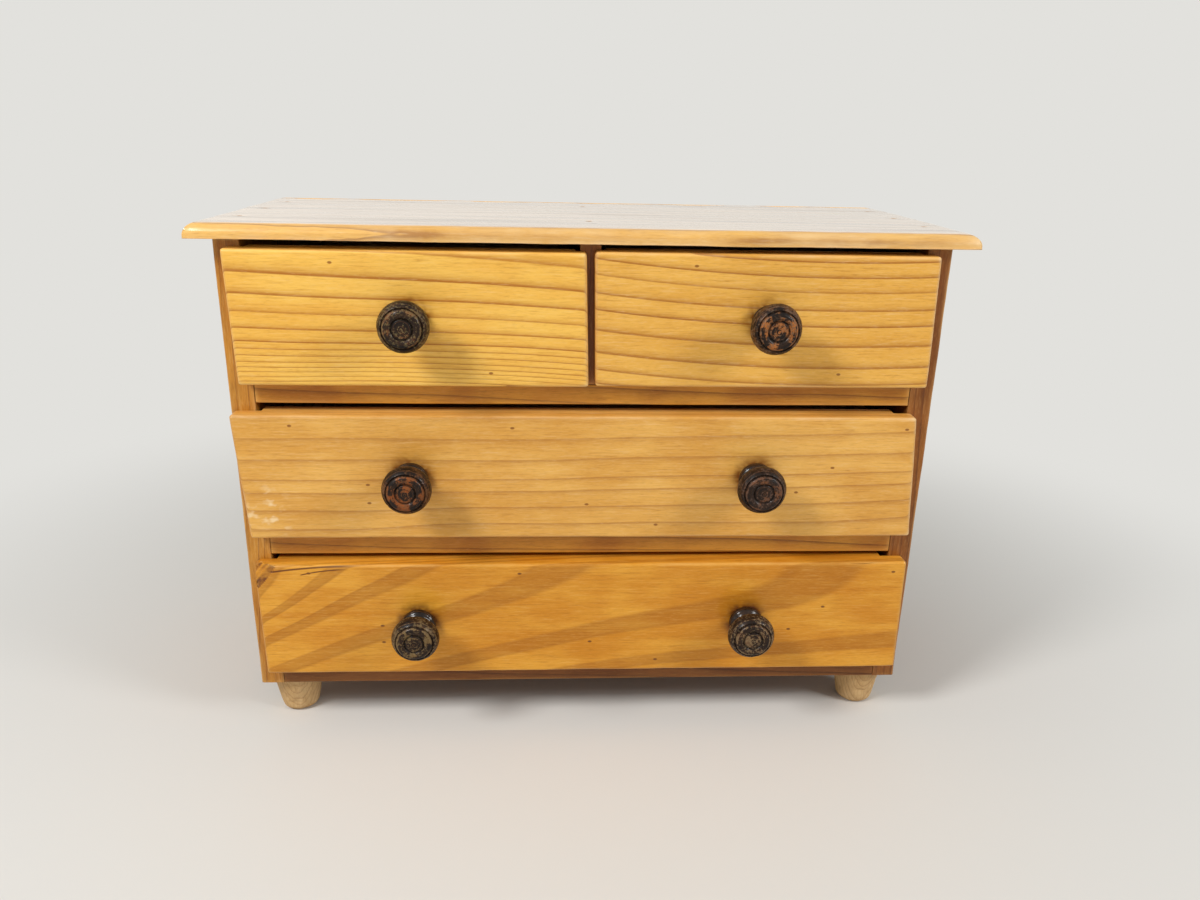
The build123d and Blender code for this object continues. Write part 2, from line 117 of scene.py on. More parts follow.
class Tree:
    """Adds nodes to one node tree, for a material or for geometry."""

    def __init__(self, tree: bpy.types.NodeTree) -> None:
        """Takes the tree that the nodes go into."""
        self.tree = tree

    def feed(self, socket: bpy.types.NodeSocket, value: object) -> None:
        """Links or sets one input.

        Args:
            socket: The input.
            value: A wire or an output to link, or what the socket holds unlinked.
        """
        if isinstance(value, Wire):
            value = value.socket
        if isinstance(value, bpy.types.NodeSocket):
            self.tree.links.new(value, socket)
        else:
            socket.default_value = value

    def node(self, kind: str, settings: dict[str, object] | None = None,
             sockets: dict[str | int, object] | None = None) -> bpy.types.Node:
        """Adds one node.

        Args:
            kind: The node's type.
            settings: What is set on the node itself, first; "stops" are a ramp's.
            sockets: Inputs, by name or number, and the value or the link of each.

        Returns:
            The node.
        """
        made = self.tree.nodes.new(kind)
        for name, value in (settings or {}).items():
            if name == "stops":
                self.set_stops(made.color_ramp, value)
            else:
                setattr(made, name, value)
        for key, value in (sockets or {}).items():
            self.feed(made.inputs[key], value)
        return made

    @staticmethod
    def set_stops(ramp: bpy.types.ColorRamp, stops: Sequence[tuple[float, Colour]]) -> None:
        """Gives a ramp its stops, each a place from 0 to 1 and a colour."""
        while len(ramp.elements) < len(stops):
            ramp.elements.new(1.0)
        for element, (place, shade) in zip(ramp.elements, stops):
            element.position = place
            element.color = shade

    def math(self, operation: str, *values: Wire | float) -> Wire:
        """A Math node on one, two or three values."""
        made = self.node("ShaderNodeMath", {"operation": operation}, dict(enumerate(values)))
        return Wire(self, made.outputs[0])

    def step(self, value: Wire | float, low: float, high: float) -> Wire:
        """Rises smoothly from 0 at low to 1 at high."""
        made = self.node("ShaderNodeMapRange", {"interpolation_type": "SMOOTHSTEP"},
                         {"Value": value, "From Min": low, "From Max": high})
        return Wire(self, made.outputs["Result"])

    def vector(self, x: Value, y: Value, z: Value) -> bpy.types.NodeSocket:
        """Three numbers as one vector."""
        return self.node("ShaderNodeCombineXYZ", None, {0: x, 1: y, 2: z}).outputs[0]

    def parts(self, vector: bpy.types.NodeSocket) -> list[Wire]:
        """A vector's three numbers."""
        made = self.node("ShaderNodeSeparateXYZ", None, {0: vector})
        return [Wire(self, out) for out in made.outputs]

    def noise(self, vector: bpy.types.NodeSocket, scale: float = 1.0, detail: float = 1.0,
              rough: float = 0.5) -> Wire:
        """Soft noise, about 0.5 in the middle.

        Args:
            vector: Where it is read.
            scale: How fine it is.
            detail: How many finer layers it has.
            rough: How strong these are.

        Returns:
            The noise, from 0 to 1.
        """
        made = self.node("ShaderNodeTexNoise", None, {
            "Vector": vector, "Scale": scale, "Detail": detail, "Roughness": rough})
        return Wire(self, made.outputs[0])

    def noise_along(self, place: Wire, detail: float = 0.0) -> Wire:
        """Soft noise along one number."""
        made = self.node("ShaderNodeTexNoise", {"noise_dimensions": "1D"},
                         {"W": place, "Scale": 1.0, "Detail": detail})
        return Wire(self, made.outputs[0])

    def chance(self, place: Wire) -> Wire:
        """One even random number for each different value of place."""
        made = self.node("ShaderNodeTexWhiteNoise", {"noise_dimensions": "1D"}, {"W": place})
        return Wire(self, made.outputs["Value"])


@dataclass(frozen=True)
class Rise:
    """A smooth rise from 0 to a share, as a value goes from one limit to another."""

    start: float                 # the value where it starts, which may be the higher one
    end: float
    share: float = 1.0

    def of(self, tree: Tree, value: Wire) -> Wire:
        """The rise, as it follows a value."""
        risen = tree.step(value, self.start, self.end)
        return risen if self.share == 1.0 else risen * self.share


@dataclass(frozen=True)
class Streaks:
    """Noise that is drawn out along the grain."""

    along: float                 # how fine it is along the grain, per metre
    across: float
    deep: float
    detail: float = 2.0          # how many finer layers it has
    rough: float = 0.5           # and how strong these are

    def read(self, tree: Tree, grain: Sequence[Wire], seed: float, scale: float = 1.0) -> Wire:
        """Reads the noise in the wood.

        Args:
            tree: The tree that reads it.
            grain: Metres along the grain, across it and through it.
            seed: Where in the noise the piece lies.
            scale: How much finer the whole is.

        Returns:
            The noise, from 0 to 1.
        """
        along, across, deep = grain
        place = tree.vector(along * self.along + seed, across * self.across, deep * self.deep)
        return tree.noise(place, scale, self.detail, self.rough)


class Shader(Tree):
    """A material's node tree, with its Principled shader."""

    MIX_FACTOR, MIX_A, MIX_B, MIX_COLOUR_OUT = 0, 6, 7, 2

    def __init__(self, name: str, constants: dict[str, float]) -> None:
        """Makes the material.

        Args:
            name: The material's name.
            constants: Principled sockets that are the same all over the surface.
        """
        self.material = bpy.data.materials.new(name)
        self.material.use_nodes = True
        super().__init__(self.material.node_tree)
        self.tree.nodes.clear()
        self.principled = self.node("ShaderNodeBsdfPrincipled", None, constants)
        self.output = self.node("ShaderNodeOutputMaterial", None, {
            "Surface": self.principled.outputs[0]})
        coordinates = self.node("ShaderNodeTexCoord")
        self.position = coordinates.outputs["Object"]

    def layered(self, ground: str, *layers: tuple[Wire, str]) -> bpy.types.NodeSocket:
        """A ground colour with others laid over it.

        Args:
            ground: The first colour.
            layers: How much of each further colour there is, and the colour.

        Returns:
            The colour's output.
        """
        colour: object = linear(ground)
        for share, shade in layers:
            mixed = self.node("ShaderNodeMix", {"data_type": "RGBA"}, {
                self.MIX_FACTOR: share, self.MIX_A: colour, self.MIX_B: linear(shade)})
            colour = mixed.outputs[self.MIX_COLOUR_OUT]
        return colour

    def painted(self, name: str) -> Wire:
        """A number that the piece's own mesh carries."""
        made = self.node("ShaderNodeAttribute",
                         {"attribute_type": "GEOMETRY", "attribute_name": name})
        return Wire(self, made.outputs["Fac"])

    def facing(self, axis: int) -> Wire:
        """How squarely the surface faces along one axis, from 0 to 1."""
        geometry = self.node("ShaderNodeNewGeometry")
        return abs(self.parts(geometry.outputs["True Normal"])[axis])

    def relief(self, height: Wire, distance: float, strength: float) -> bpy.types.NodeSocket:
        """A bumped normal from a height of 0 to 1 that stands for a distance."""
        made = self.node("ShaderNodeBump", None, {
            "Height": height, "Distance": distance, "Strength": strength})
        return made.outputs[0]

    def specks(self, vector: bpy.types.NodeSocket, scale: float, size: float,
               share: float) -> Wire:
        """Small scattered spots.

        Args:
            vector: Where they are read.
            scale: How many there could be in a unit of it.
            size: How wide a spot is, against the space between them.
            share: How many of the possible spots there are, from 0 to 1.

        Returns:
            1 inside a spot, and 0 outside.
        """
        cells = self.node("ShaderNodeTexVoronoi", {"voronoi_dimensions": "2D"},
                          {"Vector": vector, "Scale": scale})
        lucky = self.parts(cells.outputs["Color"])[0]
        inside = 1.0 - self.step(Wire(self, cells.outputs["Distance"]), size * 0.5, size)
        return inside * self.math("LESS_THAN", lucky, share)

    def tally(self, value: Wire, places: Sequence[float]) -> Wire:
        """Counts how many of some places a value has passed, with even steps between.

        Args:
            value: The value.
            places: The places, in rising order.

        Returns:
            0 at the first place, 1 at the second, and so on.
        """
        first, reach, last = places[0], places[-1] - places[0], len(places) - 1
        stops = [((place - first) / reach, (i / last, i / last, i / last, 1.0))
                 for i, place in enumerate(places)]
        ramp = self.node("ShaderNodeValToRGB", {"stops": stops},
                         {0: (value - first) * (1.0 / reach)})
        return Wire(self, ramp.outputs[0]) * last

    def dress(self, colour: object, rough: Wire, normal: bpy.types.NodeSocket,
              coat: Wire | None = None) -> bpy.types.Material:
        """Links what changes over the surface.

        Args:
            colour: The base colour's output.
            rough: The roughness.
            normal: The bumped normal.
            coat: How thick the varnish is, where that changes.

        Returns:
            The finished material.
        """
        self.feed(self.principled.inputs["Base Color"], colour)
        self.feed(self.principled.inputs["Roughness"], rough)
        self.feed(self.principled.inputs["Normal"], normal)
        if coat is not None:
            self.feed(self.principled.inputs["Coat Weight"], coat)
        return self.material


# ---- wood ----------------------------------------------------------------------
class GrainWay(Enum):
    """Which axes run along a board's grain, across its width and through it."""

    LYING_FRONT = (0, 2, 1)      # drawer fronts and the backs of boxes
    LYING_FLAT = (0, 1, 2)       # top, shelves and plywood bases
    UPRIGHT_SIDE = (2, 1, 0)     # side panels and divider
    UPRIGHT_FACE = (2, 0, 1)     # feet and plywood back
    FRONT_TO_BACK = (1, 2, 0)    # sides of the boxes


@dataclass(frozen=True)
class Knot:
    """A knot in a board's face; millimetres, from the board's middle."""

    along: float
    across: float
    radius: float
    push: float                  # how far the rings bend round it

    STRETCH = 0.45               # what a length along the grain counts for in it
    REACH = 0.45                 # its radius, over how far the rings' bend reaches
    HEART = (0.35, 0.75)         # where its dark heart fades out, in radii

    def mark(self, tree: Tree, along: Wire, across: Wire) -> tuple[Wire, Wire]:
        """Marks the knot in the wood.

        Args:
            tree: The material's tree.
            along: Metres along the grain, from the board's middle.
            across: Metres across the board.

        Returns:
            How far it pushes the rings out, and how much of its dark heart is here.
        """
        off_along = (along - self.along * MM) * self.STRETCH
        off_across = across - self.across * MM
        away = tree.math("SQRT", off_along * off_along + off_across * off_across)
        reach = away * (self.REACH / (self.radius * MM))
        push = tree.math("EXPONENT", reach * reach * -1.0) * (self.push * MM)
        inner, outer = (limit * self.radius * MM for limit in self.HEART)
        return push, 1.0 - tree.step(away, inner, outer)


@dataclass(frozen=True)
class Crack:
    """A dark split along the grain; millimetres, from the board's middle."""

    along: tuple[float, float]
    across: tuple[float, float]
    sag: float                   # how far its middle bows across
    width: float

    OPENS = Rise(0.0, 0.06)      # from its start, in shares of its length
    CLOSES = Rise(0.7, 1.0)
    CORE = 0.3                   # its darkest part, in shares of its width

    def mark(self, tree: Tree, along: Wire, across: Wire) -> Wire:
        """Marks the crack in the wood.

        Args:
            tree: The material's tree.
            along: Metres along the grain, from the board's middle.
            across: Metres across the board.

        Returns:
            1 in the crack, and 0 away from it.
        """
        start, end = (place * MM for place in self.along)
        low, high = (place * MM for place in self.across)
        width = self.width * MM
        way = (along - start) * (1.0 / (end - start))
        line = way * (high - low) + low + way * (1.0 - way) * (4.0 * self.sag * MM)
        along_it = self.OPENS.of(tree, way) * (1.0 - self.CLOSES.of(tree, way))
        return (1.0 - tree.step(abs(across - line), width * self.CORE, width)) * along_it


@dataclass(frozen=True)
class Log:
    """Where in its log a board was sawn, which is what its grain shows; millimetres."""

    pith_across: float           # the log's middle, from the board's middle
    pith_deep: float
    climb: float = 0.0           # how fast that middle goes across, along the board
    dive: float = 0.0            # and how fast it goes through
    bow: float = 0.0             # the climb's own change, per metre
    wave: float = 2.0            # the log's small bends
    seed: float = 0.0
    spacing: float = 2.0         # between one year's ring and the next
    years: tuple[float, ...] = ()    # or each ring's own radius, where they differ much
    knots: tuple[Knot, ...] = ()
    cracks: tuple[Crack, ...] = ()


@dataclass(frozen=True)
class Tone:
    """The colours of one wood and what is on it."""

    pale: str                    # early wood
    warm: str                    # early wood where the varnish lies thicker
    line: str                    # late wood
    worn: str                    # rubbed arrises, and the painted highlight on the fronts' right ends
    dirt: str                    # stains, specks and cracks


class Tones(Enum):
    """The woods of this chest; the darker tones for the rails, the right side and the divider carry
    painted shade.
    """

    BRIGHT_FRONT = Tone("#F6C259", "#E5A236", "#A55E16", "#FADB9C", "#84430F")
    FRONT = Tone("#EDB553", "#D89833", "#9B5815", "#FADFB0", "#7C400F")
    MIDDLE_FRONT = Tone("#EAB35A", "#D4953A", "#A1642A", "#F6D9A8", "#7C400F")
    DEEP_FRONT = Tone("#E4A236", "#CC8218", "#97560C", "#F2C474", "#5A2A12")
    # Painted shade and dirt: the rails stand back in the shade under the fronts.
    DIRTY_SHADED_RAIL = Tone("#DA9A34", "#B06C18", "#683606", "#E6B468", "#381A07")
    # Painted shade: the low rail lies in the bottom drawer's shade.
    SHADED_LOW_RAIL = Tone("#8E5824", "#723F12", "#442004", "#C08C4C", "#2A1206")
    BRIGHT_SIDE = Tone("#C88A32", "#A8681E", "#6E350A", "#F0C880", "#4A2309")
    # Partly a darker stain, mostly painted shade: for the right side and the divider.
    STAINED_AND_SHADED_SIDE = Tone("#A06222", "#7E4614", "#552608", "#E0AC68", "#341706")
    TOP = Tone("#EDB75C", "#D99C40", "#9C6226", "#F4DDB2", "#4E2A10")
    FOOT = Tone("#D6B482", "#C29A62", "#8F5E30", "#E8D2A8", "#6E4220")
    BOX = Tone("#E9CF9F", "#DDBB80", "#B88B50", "#EFDDB8", "#8A623A")
    PLY = Tone("#E2CBA2", "#D6B888", "#B4905F", "#EAD9B8", "#7E5F3C")


@dataclass(frozen=True)
class Pine:
    """Sawn pine, bare or varnished, its grain read through the solid board."""

    name: str
    tone: Tones
    way: GrainWay
    log: Log
    depth_of_line: float = 0.75  # how dark the late wood is
    broad: float = 0.0           # half the width of bands that stand in for lines, in rings
    patchy: float = 0.5          # how much the varnish's own tone wanders
    rough: float = 0.42
    coat: float = 0.22
    gloss: float = 0.22
    specks: float = 0.10
    bleach_and_sheen: float = 0.0          # how pale the face that looks up is painted: partly bleached wood, partly a painted sheen

    COAT_ROUGH = 0.16
    # Paler and grey for the face that looks up: partly bleached wood, partly a painted sheen.
    BLEACHED_AND_SHEEN = "#FBF4EC"
    GREYED_SHEEN = "#B5A89C"
    FIBRE_DEPTH = 0.12 * MM
    FIBRE_RELIEF = 0.7

    BENDS = Streaks(4.5, 9.0, 9.0, detail=0.6)           # of the log itself
    BENDS_DEEP_SCALE = 1.9
    BENDS_ACROSS, BENDS_DEEP = 2.0, 3.0                  # in the log's own waves
    UNEVEN, UNEVEN_SCALE = 0.8, 0.7                      # good and bad years, in rings
    FIBRE = Streaks(70.0, 1100.0, 1100.0, 2.0, 0.6)
    GRIT = Streaks(320.0, 2200.0, 2200.0, 1.0)
    STREAK = Streaks(10.0, 170.0, 170.0, 2.0)
    CLOUD = Streaks(20.0, 36.0, 36.0, 2.5, 0.6)
    BLOTCH = Streaks(120.0, 160.0, 160.0, 2.0, 0.6)
    SHEEN = Streaks(5.0, 120.0, 0.0, 3.0, 0.6)

    SUMMER = Rise(0.4, 0.93)                             # through the year, to its dark line
    SUMMER_SHARE = 0.55
    LINE = Rise(0.82, 0.93, 0.45)
    WINTER = Rise(0.955, 1.0)
    BAND_CORE, BAND_RIM, BAND_RIM_WIDTH = 0.4, 0.7, 0.3  # in shares of a band's half width
    BAND_SHARE, BAND_RIM_SHARE = 0.6, 0.35
    LINE_END = 0.02                                      # in rings
    YEARS_VARY = 0.35

    WARM = Rise(0.36, 0.64)
    WARM_CLOUD, WARM_STREAK = 0.65, 0.35                 # what the varnish's tone follows
    FIBRE_PORES, GRIT_PORES = Rise(0.50, 0.74, 0.26), Rise(0.52, 0.8, 0.2)
    FIBRE_GLINTS, GRIT_GLINTS = Rise(0.46, 0.26, 0.16), Rise(0.46, 0.25, 0.12)
    SPECK_STRETCH, SPECK_SCALE, SPECK_SIZE, SPECK_SHARE = 0.6, 90.0, 0.075, 0.8
    STAINED, STAIN_LEAST = Rise(0.3, 0.62, 0.75), 0.25
    KNOT_SHARE, CRACK_SHARE = 0.85, 0.9
    SCUFFED, SCUFF_SHARE = Rise(0.5, 0.66), 0.8
    RUBBED, RUB_SHARE = Rise(0.35, 0.6), 0.7
    END_SHARE = 0.4
    STREAK_ROUGH, RUBBED_ROUGH, END_ROUGH = 0.14, 0.18, 0.12
    FIBRE_HEIGHT, LATE_HEIGHT, GRIT_HEIGHT, SPOT_DEPTH = 0.5, 0.35, 0.2, 0.9

    # The face that looks up: painted paler and grey-streaked, partly bleaching and partly painted
    # sheen.
    LOOKS_UP, KNOT_KEEPS = Rise(0.93, 1.0), 0.9
    FADED, FADED_LEAST = Rise(0.3, 0.6, 0.4), 0.6
    GREY, GREY_SHARE = Rise(0.48, 0.66), 0.8
    DULLED, DULLED_LEAST = Rise(0.35, 0.65, 0.3), 0.1
    UNCOATED = Rise(0.45, 0.6)
    UNCOATED_SHARE = 0.45

    def rings(self, tree: Shader, grain: Sequence[Wire]) -> tuple[Wire, Wire | float]:
        """The years' rings.

        Args:
            tree: The material's tree.
            grain: Metres along the grain, across it and through it, from the board's middle.

        Returns:
            How many rings from the log's middle this is, and how much of a knot it is.
        """
        log = self.log
        along, across, deep = grain
        bend_across = self.BENDS.read(tree, grain, log.seed) - 0.5
        bend_deep = self.BENDS.read(tree, grain, log.seed, self.BENDS_DEEP_SCALE) - 0.5
        up = across - log.pith_across * MM - along * log.climb - along * along * log.bow
        into = deep - log.pith_deep * MM - along * log.dive
        up = up + bend_across * (self.BENDS_ACROSS * log.wave * MM)
        into = into + bend_deep * (self.BENDS_DEEP * log.wave * MM)
        radius = tree.math("SQRT", up * up + into * into)
        knotty: Wire | float = 0.0
        for knot in log.knots:
            push, heart = knot.mark(tree, along, across)
            radius = radius + push
            knotty = heart + knotty
        if log.years:
            return tree.tally(radius, [year * MM for year in log.years]), knotty
        years = radius * (1.0 / (log.spacing * MM))
        good = tree.noise_along(years * self.UNEVEN_SCALE + log.seed, 1.0)
        return years + good * self.UNEVEN, knotty

    def late_wood(self, tree: Shader, years: Wire) -> Wire:
        """How dark the late wood is: a soft rise and a crisp end, or a broad band."""
        phase = tree.math("FRACT", years)
        if self.broad > 0:
            away = 0.5 - abs(phase - 0.5)
            band = 1.0 - tree.step(away, self.broad * self.BAND_CORE, self.broad)
            off_rim = abs(away - self.broad * self.BAND_RIM)
            rim = 1.0 - tree.step(off_rim, 0.0, self.broad * self.BAND_RIM_WIDTH)
            return band * self.BAND_SHARE + rim * self.BAND_RIM_SHARE
        summer = self.SUMMER.of(tree, phase)
        dark = summer * summer * self.SUMMER_SHARE + self.LINE.of(tree, phase)
        return dark * (1.0 - self.WINTER.of(tree, phase))

    def dirt(self, tree: Shader, grain: Sequence[Wire], blotch: Wire,
             knotty: Wire | float) -> tuple[Wire, Wire]:
        """What darkens the wood.

        Args:
            tree: The material's tree.
            grain: Metres along the grain, across it and through it.
            blotch: The noise that breaks a stain up.
            knotty: How much of a knot's heart is here.

        Returns:
            All the dirt, and the part of it that lies below the surface.
        """
        along, across, deep = grain
        spots = tree.specks(tree.vector(along * self.SPECK_STRETCH, across, deep),
                            self.SPECK_SCALE, self.SPECK_SIZE, self.specks)
        stain = tree.painted("stain") * (self.STAINED.of(tree, blotch) + self.STAIN_LEAST)
        dirt = tree.math("MAXIMUM", spots * self.SPECK_SHARE, stain)
        if self.log.knots:
            dirt = tree.math("MAXIMUM", dirt, knotty * self.KNOT_SHARE)
        split: Wire | float = 0.0
        for crack in self.log.cracks:
            split = crack.mark(tree, along, across) + split
        if self.log.cracks:
            dirt = tree.math("MAXIMUM", dirt, split * self.CRACK_SHARE)
        return dirt, spots * self.SPOT_DEPTH + split

    def build(self, middle: Vector) -> bpy.types.Material:
        """Makes the material.

        Args:
            middle: The board's middle, which the log's place is measured from.

        Returns:
            The material.
        """
        tone, seed = self.tone.value, self.log.seed
        tree = Shader(self.name, {
            "Coat Weight": self.coat, "Coat Roughness": self.COAT_ROUGH, "IOR": 1.5,
            "Specular IOR Level": self.gloss})
        place = tree.parts(tree.position)
        grain = [place[axis] - middle[axis] for axis in self.way.value]
        fibre, grit, streak, cloud, blotch = (
            kind.read(tree, grain, seed)
            for kind in (self.FIBRE, self.GRIT, self.STREAK, self.CLOUD, self.BLOTCH))
        years, knotty = self.rings(tree, grain)
        year = tree.chance(tree.math("FLOOR", years + self.LINE_END) + seed)
        late = self.late_wood(tree, years) * (year * self.YEARS_VARY + (1.0 - self.YEARS_VARY))

        varnish = cloud * self.WARM_CLOUD + streak * self.WARM_STREAK
        pores = self.FIBRE_PORES.of(tree, fibre) + self.GRIT_PORES.of(tree, grit)
        glints = self.FIBRE_GLINTS.of(tree, fibre) + self.GRIT_GLINTS.of(tree, grit)
        scuffed = tree.painted("scuff") * self.SCUFFED.of(tree, blotch)
        dirt, sunk = self.dirt(tree, grain, blotch, knotty)
        # The arrises' wear; on the fronts' right ends this is also a painted highlight.
        rub_and_highlight = tree.painted("wear_and_highlight") * self.RUBBED.of(tree, (streak + cloud) * 0.5)
        end = tree.facing(self.way.value[0])
        layers = [
            (self.WARM.of(tree, varnish) * self.patchy, tone.warm),
            (late * self.depth_of_line, tone.line), (pores, tone.line), (glints, tone.worn),
            (scuffed * self.SCUFF_SHARE, tone.worn), (dirt, tone.dirt),
            (rub_and_highlight * self.RUB_SHARE, tone.worn), (end * self.END_SHARE, tone.line)]
        rough = streak * self.STREAK_ROUGH + self.rough - self.STREAK_ROUGH / 2
        rough = rough + rub_and_highlight * self.RUBBED_ROUGH + end * self.END_ROUGH
        coat = (1.0 - rub_and_highlight * self.RUB_SHARE) * self.coat
        # The face that looks up is painted paler, with grey streaks: partly bleached wood, partly a
        # painted sheen of mirrored light.
        if self.bleach_and_sheen > 0:
            upwards = self.LOOKS_UP.of(tree, tree.facing(2)) * (1.0 - knotty * self.KNOT_KEEPS)
            faded_and_sheen = upwards * (self.FADED.of(tree, streak) + self.FADED_LEAST) * self.bleach_and_sheen
            grey_sheen = upwards * self.GREY.of(tree, self.SHEEN.read(tree, grain, 0.0)) * self.bleach_and_sheen
            layers += [(faded_and_sheen, self.BLEACHED_AND_SHEEN), (grey_sheen * self.GREY_SHARE, self.GREYED_SHEEN)]
            rough = rough + upwards * (self.DULLED.of(tree, streak) - self.DULLED_LEAST)
            bare = upwards * self.UNCOATED.of(tree, streak)
            coat = coat * (1.0 - bare * self.UNCOATED_SHARE)
        height = fibre * self.FIBRE_HEIGHT + late * self.LATE_HEIGHT + grit * self.GRIT_HEIGHT
        normal = tree.relief(height - sunk, self.FIBRE_DEPTH, self.FIBRE_RELIEF)
        return tree.dress(tree.layered(tone.pale, *layers), rough, normal, coat)


@dataclass(frozen=True)
class Plywood:
    """Thin plywood: a plain sliced face, and the plies along its edges."""

    name: str
    way: GrainWay
    plies: int = 3
    seed: float = 0.0

    FLOW = Streaks(5.0, 20.0, 1.0, 2.0)
    FLOW_BEND = 9.0
    BANDS_SCALE, BANDS = 150.0, Rise(0.35, 0.7)
    FIBRE = Streaks(60.0, 1500.0, 300.0, 2.0, 0.6)
    PORES = Rise(0.55, 0.8, 0.45)
    FACE = Rise(0.3, 0.7)
    GLUE_LINE, CROSSED_PLY = 0.15, 0.5
    ROUGH, FIBRE_ROUGH = 0.55, 0.2
    FIBRE_DEPTH, FIBRE_RELIEF = 0.1 * MM, 0.6

    def build(self, node: str) -> bpy.types.Material:
        """Makes the material.

        Args:
            node: The sheet's CAD node, whose box gives its place and its thickness.

        Returns:
            The material.
        """
        low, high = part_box(node)
        middle, through = (low + high) / 2, self.way.value[2]
        tone = Tones.PLY.value
        tree = Shader(self.name, {"Specular IOR Level": 0.3})
        place = tree.parts(tree.position)
        grain = [place[axis] - middle[axis] for axis in self.way.value]
        flow = self.FLOW.read(tree, grain, self.seed)
        bands = tree.noise_along(
            grain[1] * self.BANDS_SCALE + flow * self.FLOW_BEND + self.seed, 2.0)
        fibre = self.FIBRE.read(tree, grain, self.seed)
        up = grain[2] * (1.0 / (high[through] - low[through])) + 0.5
        ply = tree.math("FLOOR", up * self.plies)
        crossed = tree.math("MODULO", ply, 2.0) * self.CROSSED_PLY + self.GLUE_LINE
        edge = 1.0 - self.FACE.of(tree, tree.facing(through))
        colour = tree.layered(tone.pale, (self.BANDS.of(tree, bands), tone.warm),
                              (self.PORES.of(tree, fibre), tone.line),
                              (edge * crossed, tone.dirt))
        normal = tree.relief(fibre, self.FIBRE_DEPTH, self.FIBRE_RELIEF)
        return tree.dress(colour, fibre * self.FIBRE_ROUGH + self.ROUGH, normal)


@dataclass(frozen=True)
class KnobStain:
    """Dark stain over turned wood, worn orange on the face and the rim."""

    name: str
    seed: float
    bare: float                  # how much of the face is worn, from 0 to 1
    worn: str
    rim: str
    face_height: float
    bead_height: float
    grooves: tuple[float, ...]   # the radii of the turned grooves

    BLACK, BROWN, STREAK, GROOVE = "#150C07", "#332012", "#5E3C24", "#0D0806"
    BLOTCH_SCALE, FINE_SCALE, RING_SCALE, RING_BEND = 150.0, 900.0, 2200.0, 2.0
    BROWNED, STREAKED = Rise(0.35, 0.7), Rise(0.5, 0.7, 0.45)
    HEAD = (1.4, 2.2)            # where the head starts, in heights of the bead
    FACE = (1.9 * MM, 0.6 * MM)  # and the face, down from its middle
    WORN_FROM, WORN_REACH, WORN_SOFT = 0.6, 0.16, 0.07
    WORN_NOISE = (0.65, 0.2, 0.15)           # of the blotches, the fine noise and the rings
    WORN_FACE, WORN_HEAD = 0.85, 0.15
    KEPT = Rise(0.5, 0.7, 0.5)
    PALE, PALE_SHARE = Rise(0.51, 0.58), 0.6
    PALE_NOISE = (0.3, 0.5, 0.2)
    CUT, CUT_SHARE = (0.25 * MM, 0.75 * MM), 0.85
    ROUGH = (0.24, 0.14, 0.2, 0.1)           # everywhere, on the head, worn and fine
    COAT = (0.32, 0.22, 0.08)                # everywhere, less on the head and where worn
    FINE_HEIGHT, RING_HEIGHT = 0.6, 0.4
    GRAIN_DEPTH, GRAIN_RELIEF = 0.2 * MM, 0.6

    def build(self) -> bpy.types.Material:
        """Makes the material."""
        tree = Shader(self.name, {"Coat Roughness": 0.12, "IOR": 1.5, "Specular IOR Level": 0.16})
        radius, height = tree.painted("turn_radius"), tree.painted("turn_height")
        shift = tree.node("ShaderNodeVectorMath", {"operation": "ADD"}, {
            0: tree.position, 1: (self.seed, self.seed, self.seed)}).outputs[0]
        blotch = tree.noise(shift, self.BLOTCH_SCALE, 3.0, 0.65)
        fine = tree.noise(shift, self.FINE_SCALE, 2.0, 0.6)
        rings = tree.noise_along(
            (radius + height) * self.RING_SCALE + blotch * self.RING_BEND, 1.0)
        noises = (blotch, fine, rings)
        head = tree.step(height, *(self.bead_height * share for share in self.HEAD))
        face = tree.step(height, *(self.face_height - depth for depth in self.FACE))
        limit = self.WORN_FROM - self.WORN_REACH * self.bare
        worn = tree.step(self.blend(noises, self.WORN_NOISE), limit, limit + self.WORN_SOFT)
        worn = worn * (face * self.WORN_FACE + head * self.WORN_HEAD)
        worn = worn * (1.0 - self.KEPT.of(tree, fine))
        pale = self.PALE.of(tree, self.blend(noises, self.PALE_NOISE)) * head * self.PALE_SHARE
        cut: Wire | float = 0.0
        for groove in self.grooves:
            cut = (1.0 - tree.step(abs(radius - groove), *self.CUT)) * face + cut
        colour = tree.layered(
            self.BLACK, (self.BROWNED.of(tree, blotch), self.BROWN),
            (self.STREAKED.of(tree, rings), self.STREAK), (worn, self.worn), (pale, self.rim),
            (cut * self.CUT_SHARE, self.GROOVE))
        plain, on_head, where_worn, where_fine = self.ROUGH
        rough = head * on_head + plain + worn * where_worn + fine * where_fine
        coat = self.COAT[0] - head * self.COAT[1] - worn * self.COAT[2]
        grain = fine * self.FINE_HEIGHT + rings * self.RING_HEIGHT
        normal = tree.relief(grain, self.GRAIN_DEPTH, self.GRAIN_RELIEF)
        return tree.dress(colour, rough, normal, coat)

    @staticmethod
    def blend(noises: Sequence[Wire], shares: Sequence[float]) -> Wire:
        """Three noises added up by their shares."""
        first, second, third = (each * share for each, share in zip(noises, shares))
        return first + second + third


